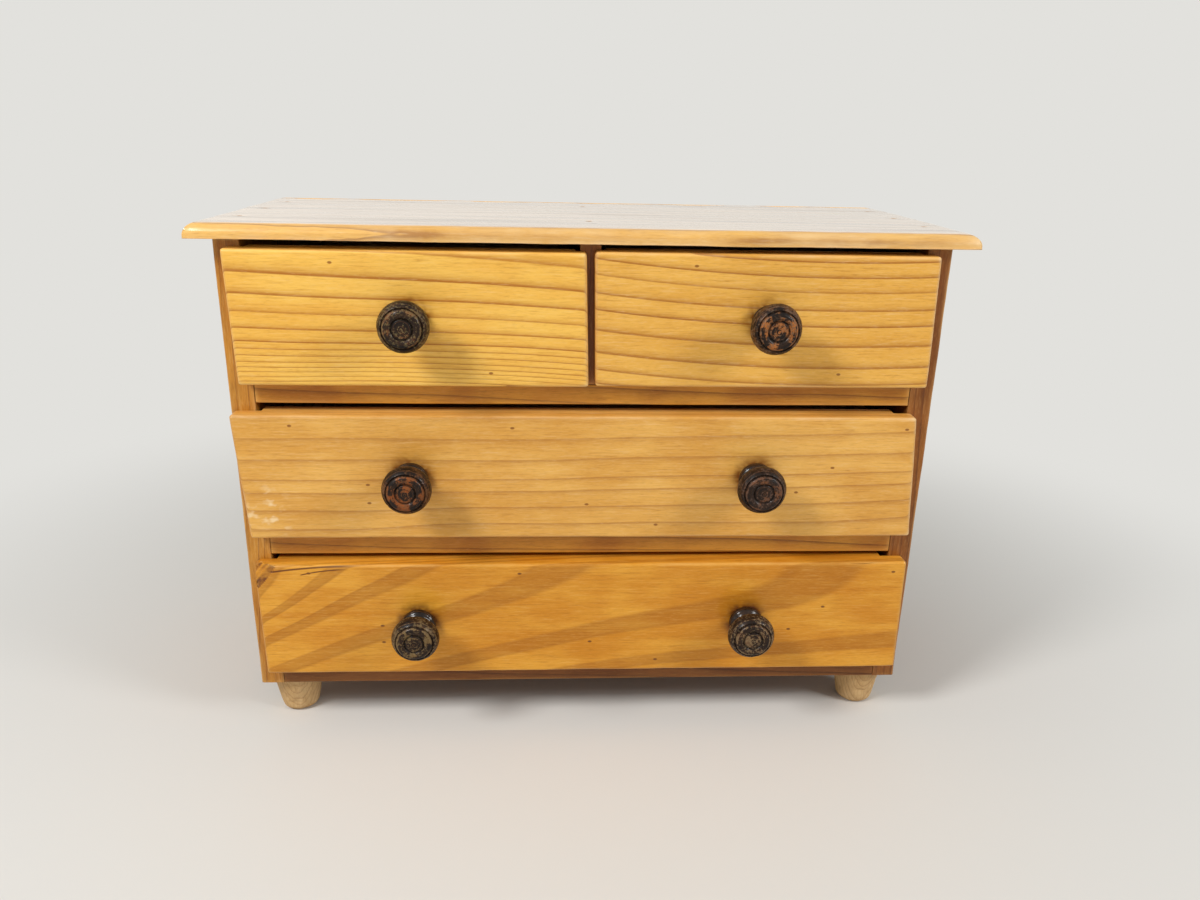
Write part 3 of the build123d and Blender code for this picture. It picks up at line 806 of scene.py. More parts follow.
@dataclass(frozen=True)
class Steel:
    """Dull drawn steel, a little brown in places."""

    name: str
    rust: float = 0.3

    BRIGHT, BROWN, GREY = "#8C8A86", "#6A4A34", "#5F5D5A"
    BLOTCH_SCALE, FINE_SCALE = 400.0, 2500.0
    RUST_FROM, RUST_REACH, RUST_TO = 0.62, 0.2, 0.72
    RUST_SHARE, GREY_SHARE = 0.7, 0.3
    ROUGH, FINE_ROUGH, RUST_ROUGH = 0.3, 0.2, 0.25
    FINE_DEPTH, FINE_RELIEF = 0.05 * MM, 0.5

    def build(self) -> bpy.types.Material:
        """Makes the material."""
        tree = Shader(self.name, {})
        blotch = tree.noise(tree.position, self.BLOTCH_SCALE, 2.0, 0.6)
        fine = tree.noise(tree.position, self.FINE_SCALE, 2.0)
        brown = tree.step(blotch, self.RUST_FROM - self.RUST_REACH * self.rust, self.RUST_TO)
        colour = tree.layered(self.BRIGHT, (brown * self.RUST_SHARE, self.BROWN),
                              (fine * self.GREY_SHARE, self.GREY))
        rough = fine * self.FINE_ROUGH + self.ROUGH + brown * self.RUST_ROUGH
        tree.feed(tree.principled.inputs["Metallic"], 1.0 - brown * self.RUST_SHARE)
        return tree.dress(colour, rough, tree.relief(fine, self.FINE_DEPTH, self.FINE_RELIEF))


@dataclass(frozen=True)
class Stopping:
    """The filler over punched pins."""

    name: str
    shade: str
    deep_shade: str

    GRIT_SCALE, DEEPER = 1800.0, Rise(0.35, 0.7)
    ROUGH, GRIT_ROUGH = 0.45, 0.2
    GRIT_DEPTH, GRIT_RELIEF = 0.1 * MM, 0.8

    def build(self) -> bpy.types.Material:
        """Makes the material."""
        tree = Shader(self.name, {"Coat Weight": 0.2, "Coat Roughness": 0.2})
        grit = tree.noise(tree.position, self.GRIT_SCALE, 3.0, 0.7)
        colour = tree.layered(self.shade, (self.DEEPER.of(tree, grit), self.deep_shade))
        normal = tree.relief(grit, self.GRIT_DEPTH, self.GRIT_RELIEF)
        return tree.dress(colour, grit * self.GRIT_ROUGH + self.ROUGH, normal)


# ---- meshes --------------------------------------------------------------------
MERGE = 0.002 * MM


def finish_piece(piece: bpy.types.Object, body: str, slot: str, *nodes: str) -> None:
    """Sets a new piece on its body, in its nodes' place.

    Args:
        piece: The piece, its place in its mesh.
        body: The body that it rides.
        slot: Not used.
        nodes: The CAD nodes that it stands for.
    """
    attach(piece, body)
    if nodes:
        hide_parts(*nodes)
    LOG.info("%s: %d faces, on %s", piece.name, len(piece.data.polygons), body)


def in_scene(name: str, data: bpy.types.ID) -> bpy.types.Object:
    """A new object, in the scene."""
    made = bpy.data.objects.new(name, data)
    bpy.context.scene.collection.objects.link(made)
    return made


def middle_of(node: str) -> Vector:
    """The middle of a CAD node's box."""
    low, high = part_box(node)
    return (low + high) / 2


def merged_copy(node: str) -> bmesh.types.BMesh:
    """A CAD node's mesh, with the vertices that its faces share made one."""
    shape = bmesh.new()
    shape.from_mesh(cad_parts[node].data)
    bmesh.ops.remove_doubles(shape, verts=shape.verts, dist=MERGE)
    return shape


def shaped(name: str, shape: bmesh.types.BMesh) -> bpy.types.Object:
    """A scene object from a finished shape, which is freed."""
    mesh = bpy.data.meshes.new(name)
    shape.to_mesh(mesh)
    shape.free()
    return in_scene(name, mesh)


def spaced(low: float, high: float, pitch: float, near_ends: Sequence[float]) -> list[float]:
    """Where a board's mesh is cut along one axis.

    Args:
        low: The board's lower limit.
        high: Its upper limit.
        pitch: How far apart the cuts are.
        near_ends: More cuts, this far inside both limits.

    Returns:
        The places of the cuts.
    """
    count = max(1, round((high - low) / pitch))
    places = [low + (high - low) * i / count for i in range(1, count)]
    for inset in near_ends:
        places += [low + inset, high - inset]
    return sorted(p for p in places if low < p < high)


def solids_of(node: str) -> list[np.ndarray]:
    """The separate solids of a CAD node.

    Args:
        node: The node's name.

    Returns:
        The vertices of each.
    """
    shape = merged_copy(node)
    unseen = set(shape.verts)
    found = []
    while unseen:
        group, edge = [], [unseen.pop()]
        while edge:
            vertex = edge.pop()
            group.append(vertex.co[:])
            for link in vertex.link_edges:
                other = link.other_vert(vertex)
                if other in unseen:
                    unseen.remove(other)
                    edge.append(other)
        found.append(np.array(group))
    shape.free()
    return sorted(found, key=lambda points: tuple(points.mean(0).round(5)))


@dataclass
class Driven:
    """A pin or a screw as it stands in the wood."""

    head: Vector                 # the middle of its head's outer face
    way: Vector                  # where it was driven to
    length: float

    @classmethod
    def read(cls, points: np.ndarray) -> "Driven":
        """Finds the head and the direction of one solid from its vertices."""
        low, high = points.min(0), points.max(0)
        axis = int(np.argmax(high - low))
        middle = (low + high) / 2
        off_axis = np.linalg.norm(np.delete(points - middle, axis, 1), axis=1)
        head_is_high = points[off_axis.argmax(), axis] > middle[axis]
        head, way = Vector(middle), Vector((0.0, 0.0, 0.0))
        head[axis] = high[axis] if head_is_high else low[axis]
        way[axis] = -1.0 if head_is_high else 1.0
        return cls(head, way, float(high[axis] - low[axis]))


@dataclass
class Board:
    """One board: the CAD node's solid, cut finely, its arrises rubbed and its face marked."""

    node: str
    body: str
    slot: str
    finish: Pine
    arris: float = 0.5 * MM      # the rounding that planing and sanding left
    rub: float = 0.25 * MM       # how much more hands have rubbed off, at most
    rub_width: float = 2.2 * MM
    pitch: float = 6.0 * MM
    lean: float = 0.0            # how far the ends lean, over the height
    stains: tuple[tuple[float, float, float, float], ...] = ()   # x, z, radius, spread
    scuffs: tuple[tuple[float, float, float, float], ...] = ()   # the same
    bare_end: bool = False       # the right end's arris is painted pale along all its length: a painted highlight

    NEAR_ENDS = (0.9 * MM, 2.0 * MM, 3.6 * MM)
    STRAIGHT = math.radians(0.3)
    SQUARE = math.radians(50.0)
    SHORTEST_ARRIS = 4.0 * MM
    LONG_WAVE = 35.0             # the wear's own noise, per metre
    SHORT_WAVE = 160.0
    UNEVEN = (0.5, 0.8, 0.35)    # how worn in the middle, and the two waves' shares
    PAINT_POWER = 2.5            # keeps the paler colour nearer the arris than the rounding
    SMOOTH_BELOW = math.radians(40.0)

    def solid(self) -> bmesh.types.BMesh:
        """The node's mesh, merged, with its flat faces whole and its long arrises rounded."""
        shape = merged_copy(self.node)
        bmesh.ops.dissolve_limit(shape, angle_limit=self.STRAIGHT, verts=shape.verts,
                                 edges=shape.edges, use_dissolve_boundaries=False)
        sharp = [edge for edge in shape.edges
                 if edge.is_manifold and edge.calc_length() > self.SHORTEST_ARRIS
                 and edge.calc_face_angle_signed(0.0) > self.SQUARE]
        if self.arris > 0 and sharp:
            bmesh.ops.bevel(shape, geom=sharp, offset=self.arris, offset_type="OFFSET",
                            segments=3, profile=0.5, affect="EDGES", clamp_overlap=True)
        return shape

    def cuts(self) -> list[tuple[int, float]]:
        """Where the mesh is cut: an axis and a place on it, for each cut."""
        low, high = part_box(self.node)
        return [(axis, place) for axis in range(3)
                for place in spaced(low[axis], high[axis], self.pitch, self.NEAR_ENDS)]

    def slice(self, shape: bmesh.types.BMesh) -> None:
        """Cuts the mesh, so that it has vertices to move."""
        for axis, place in self.cuts():
            at, normal = Vector(), Vector()
            at[axis], normal[axis] = place, 1.0
            bmesh.ops.bisect_plane(shape, geom=[*shape.verts, *shape.edges, *shape.faces],
                                   plane_co=at, plane_no=normal, dist=MERGE / 4)

    def edge_share(self, point: Vector, low: Vector, high: Vector) -> float:
        """How near a point is to one of the board's arrises.

        Args:
            point: The point.
            low: The board's lowest corner.
            high: Its highest.

        Returns:
            1 on an arris, and less away from it.
        """
        upright = Vector(point)
        upright.x += self.lean * ((point.z - low.z) / (high.z - low.z) - 0.5)
        low_x, high_x = low.x + self.lean / 2, high.x - self.lean / 2
        gaps = (min(upright.x - low_x, high_x - upright.x),
                min(point.y - low.y, high.y - point.y),
                min(point.z - low.z, high.z - point.z))
        near = [math.exp(-((max(gap, 0.0) / self.rub_width) ** 2)) for gap in gaps]
        apart = (1 - near[0] * near[1]) * (1 - near[1] * near[2]) * (1 - near[0] * near[2])
        return 1.0 - apart

    @staticmethod
    def mark_share(point: Vector, marks: Sequence[tuple[float, float, float, float]]) -> float:
        """How marked the face is at a point, from 0 to 1."""
        most = 0.0
        for x, z, radius, spread in marks:
            away = math.hypot(point.x - x, point.z - z) - radius
            most = max(most, math.exp(-((max(away, 0.0) / spread) ** 2)))
        return most

    def weather(self, shape: bmesh.types.BMesh) -> None:
        """Rubs the arrises down, and paints the wear, a painted highlight along a highlit right
        end, and the stains on the mesh.
        """
        low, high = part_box(self.node)
        wear_and_highlight = shape.verts.layers.float.new("wear_and_highlight")
        stain = shape.verts.layers.float.new("stain")
        scuff = shape.verts.layers.float.new("scuff")
        shape.normal_update()
        moved = []
        for vertex in shape.verts:
            share = self.edge_share(vertex.co, low, high)
            slow = noise.noise(vertex.co * self.LONG_WAVE)
            fast = noise.noise(vertex.co * self.SHORT_WAVE)
            plain, slow_share, fast_share = self.UNEVEN
            uneven = min(1.0, max(0.0, plain + slow_share * slow + fast_share * fast))
            # A highlit end is painted pale all along its arris: a painted highlight.
            in_highlit_end = self.bare_end and vertex.co.x > high.x - self.lean - self.rub_width
            vertex[wear_and_highlight] = share ** self.PAINT_POWER * (1.0 if in_highlit_end else uneven)
            vertex[stain] = self.mark_share(vertex.co, self.stains)
            vertex[scuff] = self.mark_share(vertex.co, self.scuffs)
            moved.append(vertex.co - vertex.normal * (self.rub * share * uneven))
        for vertex, place in zip(shape.verts, moved):
            vertex.co = place

    def make(self) -> bpy.types.Object:
        """Makes the board, dresses it and sets it in its node's place."""
        shape = self.solid()
        self.slice(shape)
        self.weather(shape)
        many_sided = [face for face in shape.faces if len(face.verts) > 4]
        bmesh.ops.triangulate(shape, faces=many_sided)
        piece = shaped(self.node + "_timber", shape)
        piece.data.shade_smooth()
        piece.data.set_sharp_from_angle(angle=self.SMOOTH_BELOW)
        piece.data.materials.append(self.finish.build(middle_of(self.node)))
        finish_piece(piece, self.body, self.slot, self.node)
        return piece


@dataclass
class TornBoard(Board):
    """A board whose upper left corner is torn away along the grain."""

    along: float = 11.0 * MM
    down: float = 14.0 * MM
    deep: float = 4.0 * MM
    fibre_depth: float = 0.8 * MM
    fine: float = 0.8 * MM
    rim: float = 1.1 * MM        # how far in the dark edge of the tear reaches

    FIBRE_RUN = 70.0             # the fibres' own noise along them, per metre
    FIBRE_ROWS = 650.0           # and across them
    TORN_NEAR = 0.35 * MM        # what lies this near the tear's plane is torn
    TORN_REACH = 1.6             # and this near its start, in heights of the tear
    PULLED = 0.4                 # how deep the splinters go where their noise is 0
    DARK, DARKENS = 0.45, 1.3    # how dark they are there, and how fast this grows

    def plane(self) -> tuple[Vector, Vector]:
        """A point on the tear, and the way that it faces."""
        low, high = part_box(self.node)
        along_top = Vector((low.x + self.along, low.y, high.z))
        down_end = Vector((low.x, low.y, high.z - self.down))
        into = Vector((low.x, low.y + self.deep, high.z))
        return along_top, (into - along_top).cross(down_end - along_top).normalized()

    def cuts(self) -> list[tuple[int, float]]:
        """The board's cuts, and closer ones at the torn corner."""
        low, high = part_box(self.node)
        fine_x = np.arange(low.x + self.fine, low.x + self.along * 1.3, self.fine)
        fine_z = np.arange(high.z - self.down * 1.2, high.z, self.fine * 0.6)
        return ([*super().cuts()] + [(0, float(x)) for x in fine_x]
                + [(2, float(z)) for z in fine_z])

    def weather(self, shape: bmesh.types.BMesh) -> None:
        """Rubs the arrises, then pulls splinters out of the torn face."""
        super().weather(shape)
        stain = shape.verts.layers.float["stain"]
        origin, outwards = self.plane()
        low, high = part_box(self.node)
        fibres = (Vector((low.x, low.y, high.z - self.down)) - origin).normalized()
        beside = outwards.cross(fibres)
        for vertex in shape.verts:
            offset = vertex.co - origin
            height = offset.dot(outwards)
            if abs(height) < self.TORN_NEAR and offset.length < self.TORN_REACH * self.down:
                place = Vector((offset.dot(fibres) * self.FIBRE_RUN,
                                offset.dot(beside) * self.FIBRE_ROWS, 0.0))
                splinter = noise.noise(place)
                vertex.co -= outwards * (self.fibre_depth * max(0.0, self.PULLED + splinter))
                rim = math.exp(-(((vertex.co.y - low.y) / self.rim) ** 2))
                dark = max(0.0, self.DARK + self.DARKENS * splinter)
                vertex[stain] = min(1.0, dark + rim)


# ---- turned pieces -------------------------------------------------------------
class Profile:
    """A turned outline, drawn as (radius, height) from the work's middle."""

    STEP = math.radians(9.0)

    def __init__(self, start: tuple[float, float]) -> None:
        """Starts the outline at a point."""
        self.points = [Vector(start)]

    def line(self, *points: tuple[float, float]) -> "Profile":
        """Goes straight to each point in turn."""
        self.points += [Vector(point) for point in points]
        return self

    def sweep(self, centre: Vector, end: Vector, turn: float) -> None:
        """Goes round a centre to an end, through a signed angle."""
        start = self.points[-1] - centre
        count = max(2, math.ceil(abs(turn) / self.STEP))
        for i in range(1, count):
            part = turn * i / count
            spun = Vector((start.x * math.cos(part) - start.y * math.sin(part),
                           start.x * math.sin(part) + start.y * math.cos(part)))
            self.points.append(centre + spun)
        self.points.append(end)

    def arc(self, middle: tuple[float, float], end: tuple[float, float]) -> "Profile":
        """Goes to an end on the arc through a middle point."""
        a, b, c = self.points[-1], Vector(middle), Vector(end)
        d = 2 * ((a.x - c.x) * (b.y - c.y) - (b.x - c.x) * (a.y - c.y))
        ka, kb = a.length_squared - c.length_squared, b.length_squared - c.length_squared
        centre = Vector(((ka * (b.y - c.y) - kb * (a.y - c.y)) / d,
                         (kb * (a.x - c.x) - ka * (b.x - c.x)) / d))
        first, whole = self.angle(a - centre, b - centre), self.angle(a - centre, c - centre)
        if first * whole < 0 or abs(first) > abs(whole):
            whole -= math.copysign(math.tau, whole)
        self.sweep(centre, c, whole)
        return self

    def leave(self, heading: tuple[float, float], end: tuple[float, float]) -> "Profile":
        """Goes to an end on the arc that starts out in a heading."""
        start, tangent = self.points[-1], Vector(heading).normalized()
        chord = Vector(end) - start
        side = Vector((-tangent.y, tangent.x))
        radius = chord.length_squared / (2 * chord.dot(side))
        centre = start + side * radius
        turn = 2 * math.atan2(tangent.cross(chord), tangent.dot(chord))
        self.sweep(centre, Vector(end), turn)
        return self

    @staticmethod
    def angle(start: Vector, end: Vector) -> float:
        """The signed angle from one direction to another."""
        return math.atan2(start.cross(end), start.dot(end))

    def curve(self, name: str) -> bpy.types.Object:
        """The outline as a flat curve, for a geometry tree to read."""
        data = bpy.data.curves.new(name, "CURVE")
        data.dimensions = "3D"
        spline = data.splines.new("POLY")
        spline.points.add(len(self.points) - 1)
        for target, point in zip(spline.points, self.points):
            target.co = (point.x, point.y, 0.0, 1.0)
        return in_scene(name, data)


class GeometryTree(Tree):
    """A geometry tree with named inputs, which makes a plain mesh from a modifier."""

    def __init__(self, name: str, inputs: dict[str, str]) -> None:
        """Starts the tree.

        Args:
            name: The tree's name.
            inputs: What kind of socket each named input is.
        """
        group = bpy.data.node_groups.new(name, "GeometryNodeTree")
        super().__init__(group)
        group.interface.new_socket("Geometry", in_out="INPUT", socket_type="NodeSocketGeometry")
        for title, kind in inputs.items():
            group.interface.new_socket(title, in_out="INPUT", socket_type="NodeSocket" + kind)
        group.interface.new_socket("Geometry", in_out="OUTPUT", socket_type="NodeSocketGeometry")
        self.inputs = self.node("NodeGroupInput").outputs
        self.build()

    def build(self) -> None:
        """Adds the tree's nodes."""
        raise NotImplementedError

    def close(self, geometry: bpy.types.NodeSocket) -> None:
        """Ends the tree: real geometry with its material set."""
        real = self.node("GeometryNodeRealizeInstances", None, {0: geometry})
        dressed = self.node("GeometryNodeSetMaterial", None, {
            0: real.outputs[0], "Material": self.inputs["Material"]})
        self.node("NodeGroupOutput", None, {0: dressed.outputs[0]})

    def run(self, carrier: bpy.types.Object, name: str,
            values: dict[str, object]) -> bpy.types.Object:
        """Makes one piece.

        Args:
            carrier: The object whose mesh goes into the tree.
            name: The piece's name.
            values: The value of each named input.

        Returns:
            The piece, as a plain mesh at the origin.
        """
        modifier = carrier.modifiers.new("made", "NODES")
        modifier.node_group = self.tree
        for item in self.tree.interface.items_tree:
            if item.item_type == "SOCKET" and item.in_out == "INPUT" and item.name in values:
                modifier[item.identifier] = values[item.name]
        carrier.update_tag()
        graph = bpy.context.evaluated_depsgraph_get()
        mesh = bpy.data.meshes.new_from_object(carrier.evaluated_get(graph),
                                               preserve_all_data_layers=True, depsgraph=graph)
        carrier.modifiers.remove(modifier)
        mesh.name = name
        return in_scene(name, mesh)


class TurnedTree(GeometryTree):
    """Spins an outline into a closed solid, a little out of round and chipped."""

    INPUTS = {
        "Outline": "Object", "Segments": "Int", "Rings": "Int", "Out Of Round": "Float",
        "Chip Depth": "Float", "Chip Scale": "Float", "Seed": "Float", "Solid From": "Float",
        "Place": "Vector", "Turn": "Vector", "Material": "Material"}
    WELD = 0.01 * MM

    def __init__(self) -> None:
        """Builds the tree."""
        super().__init__("turned piece", self.INPUTS)

    def turn(self, node: str, kind: str, outline: Profile,
             values: dict[str, object]) -> bpy.types.Object:
        """Turns one piece.

        Args:
            node: The CAD node that it stands for.
            kind: What its name ends in.
            outline: Its outline.
            values: The value of each other input.

        Returns:
            The piece, in its node's place.
        """
        curve = outline.curve(node + "_outline")
        carrier = mesh_object(node + "_carrier", [(0.0, 0.0, 0.0)])
        piece = self.run(carrier, f"{node}_{kind}", {"Outline": curve, **values})
        put_away(curve, carrier)
        return piece

    def build(self) -> None:
        """Wraps a grid round the outline's own middle line."""
        given = self.inputs
        grid = self.node("GeometryNodeMeshGrid", None, {
            "Size X": 1.0, "Size Y": 1.0, "Vertices X": given["Segments"],
            "Vertices Y": given["Rings"]})
        place = self.parts(self.node("GeometryNodeInputPosition").outputs[0])
        turn, factor = (place[0] + 0.5) * math.tau, place[1] + 0.5
        outline = self.node("GeometryNodeObjectInfo", None, {0: given["Outline"]})
        sample = self.node("GeometryNodeSampleCurve", {"mode": "FACTOR", "use_all_curves": True},
                           {"Curves": outline.outputs["Geometry"], "Factor": factor})
        radius, height, _ = self.parts(sample.outputs["Position"])
        cosine, sine = self.math("COSINE", turn), self.math("SINE", turn)
        shrink = 1.0 - abs(self.math("COSINE", turn + Wire(self, given["Seed"]))) * Wire(
            self, given["Out Of Round"])
        round_about = radius * shrink
        marked = grid.outputs["Mesh"]
        for name, value in (("turn_radius", radius), ("turn_height", height)):
            marked = self.node("GeometryNodeStoreNamedAttribute", {
                "data_type": "FLOAT", "domain": "POINT"}, {
                "Geometry": marked, "Name": name, "Value": value}).outputs[0]
        wrapped = self.node("GeometryNodeSetPosition", None, {
            "Geometry": marked,
            "Position": self.vector(round_about * cosine, round_about * sine, height)})
        merged = self.node("GeometryNodeMergeByDistance", None, {
            "Geometry": wrapped.outputs[0], "Distance": self.WELD})
        here = self.node("GeometryNodeInputPosition").outputs[0]
        moved = self.node("ShaderNodeVectorMath", {"operation": "ADD"}, {
            0: here, 1: given["Seed"]}).outputs[0]
        rough = self.noise(moved, given["Chip Scale"], 2.0)
        outer = self.node("GeometryNodeInputNamedAttribute", {"data_type": "FLOAT"},
                          {"Name": "turn_radius"})
        solid = self.math("GREATER_THAN", Wire(self, outer.outputs[0]),
                          Wire(self, given["Solid From"]))
        depth = self.step(rough, 0.5, 0.8) * solid * Wire(self, given["Chip Depth"])
        inwards = self.node("ShaderNodeVectorMath", {"operation": "SCALE"}, {
            0: self.node("GeometryNodeInputNormal").outputs[0], "Scale": depth * -1.0})
        chipped = self.node("GeometryNodeSetPosition", None, {
            "Geometry": merged.outputs[0], "Offset": inwards.outputs[0]})
        smooth = self.node("GeometryNodeSetShadeSmooth", None, {0: chipped.outputs[0]})
        placed = self.node("GeometryNodeTransform", None, {
            0: smooth.outputs[0], "Translation": given["Place"], "Rotation": given["Turn"]})
        self.close(placed.outputs[0])


class DrivenTree(GeometryTree):
    """Sets a copy of one fastener at each point, each with its own turn."""

    INPUTS = {"Fastener": "Object", "Largest Turn": "Float", "Seed": "Int",
              "Material": "Material"}

    def __init__(self) -> None:
        """Builds the tree."""
        super().__init__("driven fasteners", self.INPUTS)

    def build(self) -> None:
        """Instances on points, lined up with the way that each was driven."""
        given = self.inputs
        source = self.node("GeometryNodeObjectInfo", None, {0: given["Fastener"]})
        way = self.node("GeometryNodeInputNamedAttribute", {"data_type": "FLOAT_VECTOR"},
                        {"Name": "driven_way"})
        lined = self.node("FunctionNodeAlignRotationToVector", {"axis": "Z"},
                          {"Vector": way.outputs[0]})
        chance = self.node("FunctionNodeRandomValue", {"data_type": "FLOAT"}, {
            "Min": 0.0, "Max": given["Largest Turn"], "Seed": given["Seed"]})
        turned = self.node("FunctionNodeRotateRotation", {"rotation_space": "LOCAL"}, {
            0: lined.outputs[0]})
        random_out = next(o for o in chance.outputs if o.enabled)
        spin = self.node("FunctionNodeAxisAngleToRotation", None, {
            "Axis": (0.0, 0.0, 1.0), "Angle": random_out})
        self.feed(turned.inputs[1], spin.outputs[0])
        many = self.node("GeometryNodeInstanceOnPoints", None, {
            "Points": given["Geometry"], "Instance": source.outputs["Geometry"],
            "Rotation": turned.outputs[0]})
        self.close(many.outputs[0])


def mesh_object(name: str, points: Iterable[Sequence[float]],
                faces: Iterable[Sequence[int]] = ()) -> bpy.types.Object:
    """A plain mesh object from points and faces."""
    mesh = bpy.data.meshes.new(name)
    mesh.from_pydata([tuple(point) for point in points], [], [tuple(face) for face in faces])
    return in_scene(name, mesh)


def put_away(*makers: bpy.types.Object) -> None:
    """Deletes objects that only helped to make others."""
    for maker in makers:
        bpy.data.objects.remove(maker)


@dataclass
class Knob:
    """One turned knob: bead, waist, and a round head with two grooves in its face."""

    node: str
    body: str
    seed: float
    bare: float
    worn: str
    rim: str
    radius: float = 12.5 * MM
    foot_radius: float = 8.6 * MM
    bead_radius: float = 9.3 * MM
    bead: float = 4.5 * MM
    waist_radius: float = 6.3 * MM
    neck_radius: float = 9.6 * MM
    head_back: float = 3.8 * MM
    crown: float = 7.0 * MM
    shoulder: float = 1.6 * MM
    face_radius: float = 9.8 * MM
    button_radius: float = 4.9 * MM
    groove: float = 0.7 * MM
    bore: float = 1.95 * MM
    bore_deep: float = 12.1 * MM

    TURNING = {"Segments": 97, "Rings": 220, "Out Of Round": 0.012, "Chip Depth": 0.25 * MM,
               "Chip Scale": 260.0, "Solid From": 4.0 * MM}

    def outline(self, length: float) -> Profile:
        """The knob's outline, from its bore round to the middle of its face."""
        widest = length - self.crown
        neck = widest - self.head_back
        shoulder, face = length - self.shoulder, length - self.groove
        half = self.groove / 2
        rim, face_edge = self.face_radius + half, self.face_radius - half
        turned = Profile((0.0, self.bore_deep)).line(
            (self.bore, self.bore_deep), (self.bore, 0.0), (self.foot_radius, 0.0))
        turned.arc((self.bead_radius, self.bead / 2), (self.foot_radius - self.groove, self.bead))
        turned.arc((self.waist_radius, (self.bead + neck) / 2), (self.neck_radius, neck))
        turned.arc(self.between(turned.points[-1], self.radius, widest),
                   (self.radius, widest))
        turned.leave((0.0, 1.0), (rim, shoulder))
        turned.line((self.face_radius, shoulder - self.groove), (face_edge, shoulder))
        turned.arc((face_edge - self.groove, face), (self.button_radius + self.groove, face))
        turned.line((self.button_radius, face - self.groove), (self.button_radius - half, face))
        turned.leave((-1.0, (length - face) / self.button_radius), (0.0, length))
        return turned

    @staticmethod
    def between(start: Vector, radius: float, height: float) -> tuple[float, float]:
        """A middle point on the arc that arrives straight up at the head's widest ring."""
        reach_in, reach_up = radius - start.x, height - start.y
        bend = (reach_in ** 2 + reach_up ** 2) / (2 * reach_in)
        whole = math.asin(min(1.0, reach_up / bend))
        half = whole / 2
        return (radius - bend * (1 - math.cos(half)), height - bend * math.sin(half))

    def make(self, tree: TurnedTree) -> bpy.types.Object:
        """Turns the knob and sets it in its node's place."""
        low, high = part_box(self.node)
        length = high.y - low.y
        finish = KnobStain(f"{self.node} stain", self.seed, self.bare, self.worn, self.rim,
                           length, self.bead, (self.face_radius, self.button_radius))
        middle = middle_of(self.node)
        piece = tree.turn(self.node, "turned", self.outline(length), {
            **self.TURNING, "Seed": self.seed, "Place": (middle.x, high.y, middle.z),
            "Turn": (math.pi / 2, 0.0, 0.0), "Material": finish.build()})
        finish_piece(piece, self.body, "stained_knobs", self.node)
        return piece


@dataclass
class Foot:
    """One whittled foot: tapered, with a big rounded toe."""

    node: str
    seed: float
    top_radius: float = 14.2 * MM
    toe_radius: float = 9.8 * MM
    toe_round: float = 4.0 * MM
    bore: float = 1.95 * MM
    bore_deep: float = 14.0 * MM

    WHITTLING = {"Segments": 73, "Rings": 120, "Out Of Round": 0.03, "Chip Depth": 0.9 * MM,
                 "Chip Scale": 130.0, "Solid From": 6.0 * MM}

    def outline(self, height: float) -> Profile:
        """The foot's outline, up its side and down its screw hole."""
        lean = math.atan2(self.top_radius - self.toe_radius, height)
        tangent = self.toe_round * math.tan((math.pi / 2 + lean) / 2 - lean)
        inner = self.toe_radius - tangent
        up = (self.toe_radius + tangent * math.sin(lean), tangent * math.cos(lean))
        floor = height - self.bore_deep
        foot = Profile((0.0, 0.0)).line((inner, 0.0))
        foot.leave((1.0, 0.0), up)
        return foot.line((self.top_radius, height), (self.bore, height), (self.bore, floor),
                         (0.0, floor))

    def make(self, tree: TurnedTree) -> bpy.types.Object:
        """Shapes the foot and sets it in its node's place."""
        low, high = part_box(self.node)
        middle = middle_of(self.node)
        log = Log(3.0, -24.0, climb=0.10, dive=0.35, wave=0.6, seed=self.seed, spacing=2.6)
        finish = Pine(f"{self.node} pine", Tones.FOOT, GrainWay.UPRIGHT_FACE, log,
                      depth_of_line=0.55, rough=0.62, coat=0.0, specks=0.05)
        piece = tree.turn(self.node, "whittled", self.outline(high.z - low.z), {
            **self.WHITTLING, "Seed": self.seed, "Place": (middle.x, middle.y, low.z),
            "Turn": (0.0, 0.0, 0.0), "Material": finish.build(middle)})
        finish_piece(piece, "case", "bare_pine", self.node)
        return piece


